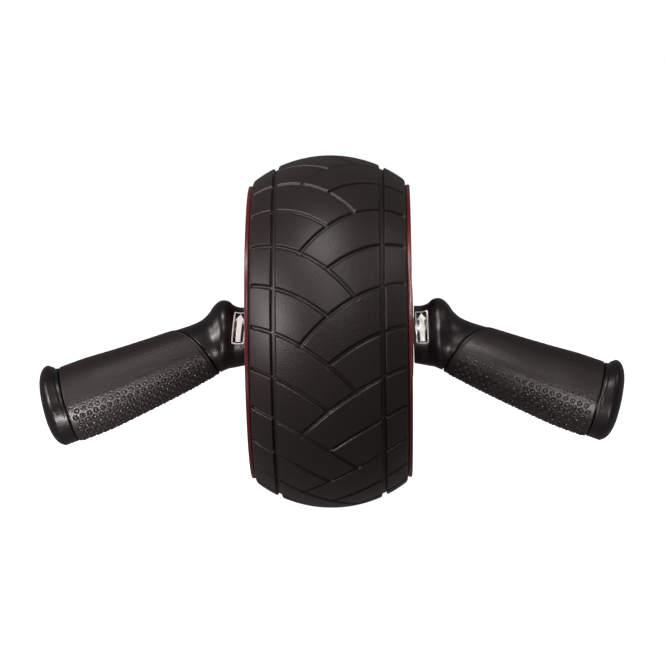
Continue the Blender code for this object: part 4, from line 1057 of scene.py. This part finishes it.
def on_neck(across, up, lift, middle, slant):
    """A point of the sticker on the neck's front, from the sticker's middle, lifted off the neck."""
    turn = math.radians(middle) + up / NECK_RADIUS
    x = ARM_FACE + STICKER_INSET + STICKER_WIDTH / 2 + across - up * slant
    return handle_point(place_at(turn, max(ARM_FACE + FACE_EDGE, x)), turn, -lift)


def rounded_box(width, height, corner):
    """The outline of a rectangle with rounded corners, as points in equal short steps."""
    points = []
    for right, top, first in ((1, 1, 0), (-1, 1, 90), (-1, -1, 180), (1, -1, 270)):
        for k in range(5):
            angle = math.radians(first + 90 * k / 4)
            points.append((right * (width / 2 - corner) + corner * math.cos(angle),
                           top * (height / 2 - corner) + corner * math.sin(angle)))
    return points


def in_short_steps(corners, longest=0.8 * MM):
    """The same closed outline with points added, so that it can follow the curved neck."""
    points = []
    for first, second in zip(corners, corners[1:] + corners[:1]):
        pieces = max(1, math.ceil(math.dist(first, second) / longest))
        points += [(first[0] + (second[0] - first[0]) * k / pieces,
                    first[1] + (second[1] - first[1]) * k / pieces) for k in range(pieces)]
    return points


def patch(name, outline, hub, low, high, lie):
    """A thin plate of this outline on the neck, its faces filled in rings round a point in it."""
    def at(share, lift):
        return [on_neck(hub[0] + (x - hub[0]) * share, hub[1] + (y - hub[1]) * share, lift, *lie)
                for x, y in outline]
    shares = [k / PATCH_ROWS for k in range(PATCH_ROWS + 1)]
    top = [at(share, high) for share in shares]
    return roll_sheet(name, top + [at(share, low) for share in reversed(shares)])


def matt_print():
    finish, tree, shader = new_finish("white_screen_print", "#f2f2f0", IOR=1.5)
    place = add_node(tree, "TexCoord")
    speck = add_node(tree, "TexNoise", {"Vector": place.outputs["Object"], "Scale": 3000.0})
    shade_from(tree, shader, speck.outputs["Fac"], (0.4, 0.55))
    return finish


def black_film():
    finish, tree, shader = new_finish("black_vinyl_film", "#0e0e0f", IOR=1.54)
    place = add_node(tree, "TexCoord")
    speck = add_node(tree, "TexNoise", {"Vector": place.outputs["Object"], "Scale": 800.0})
    shade_from(tree, shader, speck.outputs["Fac"], (0.2, 0.28))
    return finish


film_top = FILM_LIFT + FILM_THICKNESS
print_top = film_top + PRINT_THICKNESS
film_edge = in_short_steps(rounded_box(STICKER_WIDTH, STICKER_HEIGHT, STICKER_CORNER))
outer, inner = [[(x * (1 - 2 * inset / STICKER_WIDTH), y * (1 - 2 * inset / STICKER_HEIGHT))
                 for x, y in film_edge] for inset in (FRAME_INSET, FRAME_INSET + FRAME_LINE)]
frame_lines = ((outer, film_top), (outer, print_top), (inner, print_top), (inner, film_top),
               (outer, film_top))
half, head = ARROW_SHAFT / 2, ARROW_HEAD / 2
base = ARROW_LENGTH / 2 - ARROW_HEAD_LENGTH
arrow_hub = (0, base + 0.2 * MM)
arrow_corners = [(0, ARROW_LENGTH / 2), (-head, base), (-half, base), (-half, -ARROW_LENGTH / 2),
                 (half, -ARROW_LENGTH / 2), (half, base), (head, base)]
arrow_edge = in_short_steps(arrow_corners)
white_print = matt_print()
vinyl = black_film()
for word, *lie in STICKER_PLACES:
    film = patch(f"arrow_sticker_{word}", film_edge, (0, 0), FILM_LIFT, film_top, lie)
    arrow = patch(f"printed_arrow_{word}", arrow_edge, arrow_hub, film_top, print_top, lie)
    frame_rings = [[on_neck(x, y, lift, *lie) for x, y in line] for line, lift in frame_lines]
    printed_frame = roll_sheet(f"printed_frame_{word}", frame_rings)
    for piece, finish in ((film, vinyl), (arrow, white_print), (printed_frame, white_print)):
        if word == "left":
            piece.data.transform(Matrix.Diagonal((-1, 1, 1, 1)))
            piece.data.flip_normals()
        settle(piece, finish, "label", "handles", f"arrow_label_{word}")

# Floor, light and camera
# A plain white floor, soft lights round the front as in a product studio, and the camera at the
# photograph's place: nearly level with the axle, far off with a long lens. The floor lets the
# light from low in front through, as a glass table over a white ground does.

CAMERA_DISTANCE = 1500 * MM
CAMERA_TURN = math.radians(1.0)
CAMERA_RISE = math.radians(4.0)
CAMERA_ROLL = math.radians(-0.67)
LENS = 142.8
PICTURE = 665
AXLE_PIXEL = (331.0, 331.5)
GREY_ROOM = 0.15
WARM_WHITE = (1.0, 0.93, 0.9)

bpy.ops.object.select_all(action="DESELECT")
bpy.ops.mesh.primitive_plane_add(size=30)
floor = bpy.context.object
floor.name = "floor"
paint, _, paint_shader = new_finish(
    "matt_white_paint", "#f4f4f4", Roughness=0.9, Emission_Strength=1.0)
paint_shader.inputs["Emission Color"].default_value = linear("#ffffff")
floor.data.materials.append(paint)
floor.visible_diffuse = False
floor.visible_glossy = False
floor.visible_shadow = False

world = bpy.data.worlds.new("studio")
world.use_nodes = True
bpy.context.scene.world = world
sky = world.node_tree
sky.nodes.clear()
ray = add_node(sky, "LightPath")
shade = add_node(sky, "Mix", {"Factor": ray.outputs["Is Camera Ray"]}, data_type="RGBA")
shade.inputs["A"].default_value = (*[GREY_ROOM * v for v in WARM_WHITE], 1)
shade.inputs["B"].default_value = (1, 1, 1, 1)
glow = add_node(sky, "Background", {"Color": shade.outputs["Result"]})
add_node(sky, "OutputWorld", {"Surface": glow.outputs["Background"]})


def soft_light(name, turn, rise, distance, width, height, power, aim=AXLE, spread=180):
    """A soft box aimed at a spot, from degrees to the right of the front and degrees above level."""
    turn, rise = math.radians(turn), math.radians(rise)
    way = Vector((math.sin(turn) * math.cos(rise), -math.cos(turn) * math.cos(rise), math.sin(rise)))
    lamp = bpy.data.lights.new(name, "AREA")
    lamp.shape = "RECTANGLE"
    lamp.size, lamp.size_y = width, height
    lamp.energy = power
    lamp.spread = math.radians(spread)
    lamp.color = WARM_WHITE
    holder = bpy.data.objects.new(name, lamp)
    holder.location = aim + way * distance
    holder.rotation_euler = (-way).to_track_quat("-Z", "Y").to_euler()
    bpy.context.scene.collection.objects.link(holder)


TO_LEFT = Vector((-1, 1, 1))
GRIP_SPOT = Vector((0.138, 0, AXLE.z - 0.033))
CAP_SPOT = Vector((0.154, -0.021, 0.054))
NECK_SPOT = AXLE + Vector((0.053, 0, 0.003))

# Degrees right and above, metres away, metres wide and high, and watts
soft_light("key_left", -50, 8, 1.3, 0.3, 0.3, 7.6)
soft_light("far_left", -70, 22, 1.3, 0.3, 0.3, 2.8)
soft_light("front", 4, 26, 1.3, 0.2, 0.2, 1.9)
soft_light("overhead", -10, 58, 1.3, 0.3, 0.2, 5.0)
soft_light("side_right", 70, 40, 1.3, 0.3, 0.3, 0.8)
# The small boxes have a honeycomb, which keeps their light on one grip, cap or neck
soft_light("low_left", 2, -33, 0.45, 0.1, 0.12, 0.05, GRIP_SPOT * TO_LEFT, spread=20)
soft_light("low_right", -2, -24, 0.45, 0.1, 0.12, 0.03, GRIP_SPOT, spread=20)
soft_light("cap_left", 26, -27, 0.45, 0.06, 0.12, 0.008, CAP_SPOT * TO_LEFT, spread=10)
soft_light("cap_right", 20, -34, 0.45, 0.06, 0.12, 0.0025, CAP_SPOT, spread=10)
soft_light("neck_right", 3, 27, 0.9, 0.05, 0.05, 0.008, NECK_SPOT, spread=5)

camera_data = bpy.data.cameras.new("camera")
camera_data.lens = LENS
camera_data.sensor_width = 36
camera_data.shift_x = (PICTURE / 2 - AXLE_PIXEL[0]) / PICTURE
camera_data.shift_y = (AXLE_PIXEL[1] - PICTURE / 2) / PICTURE
camera_data.clip_end = 30
camera = bpy.data.objects.new("camera", camera_data)
bpy.context.scene.collection.objects.link(camera)
back = Vector((math.sin(CAMERA_TURN) * math.cos(CAMERA_RISE),
               -math.cos(CAMERA_TURN) * math.cos(CAMERA_RISE), math.sin(CAMERA_RISE)))
aim = (-back).to_track_quat("-Z", "Y").to_matrix().to_4x4() @ Matrix.Rotation(CAMERA_ROLL, 4, "Z")
camera.matrix_world = Matrix.Translation(AXLE + back * CAMERA_DISTANCE) @ aim
bpy.context.scene.camera = camera
bpy.context.scene.view_settings.view_transform = "Standard"
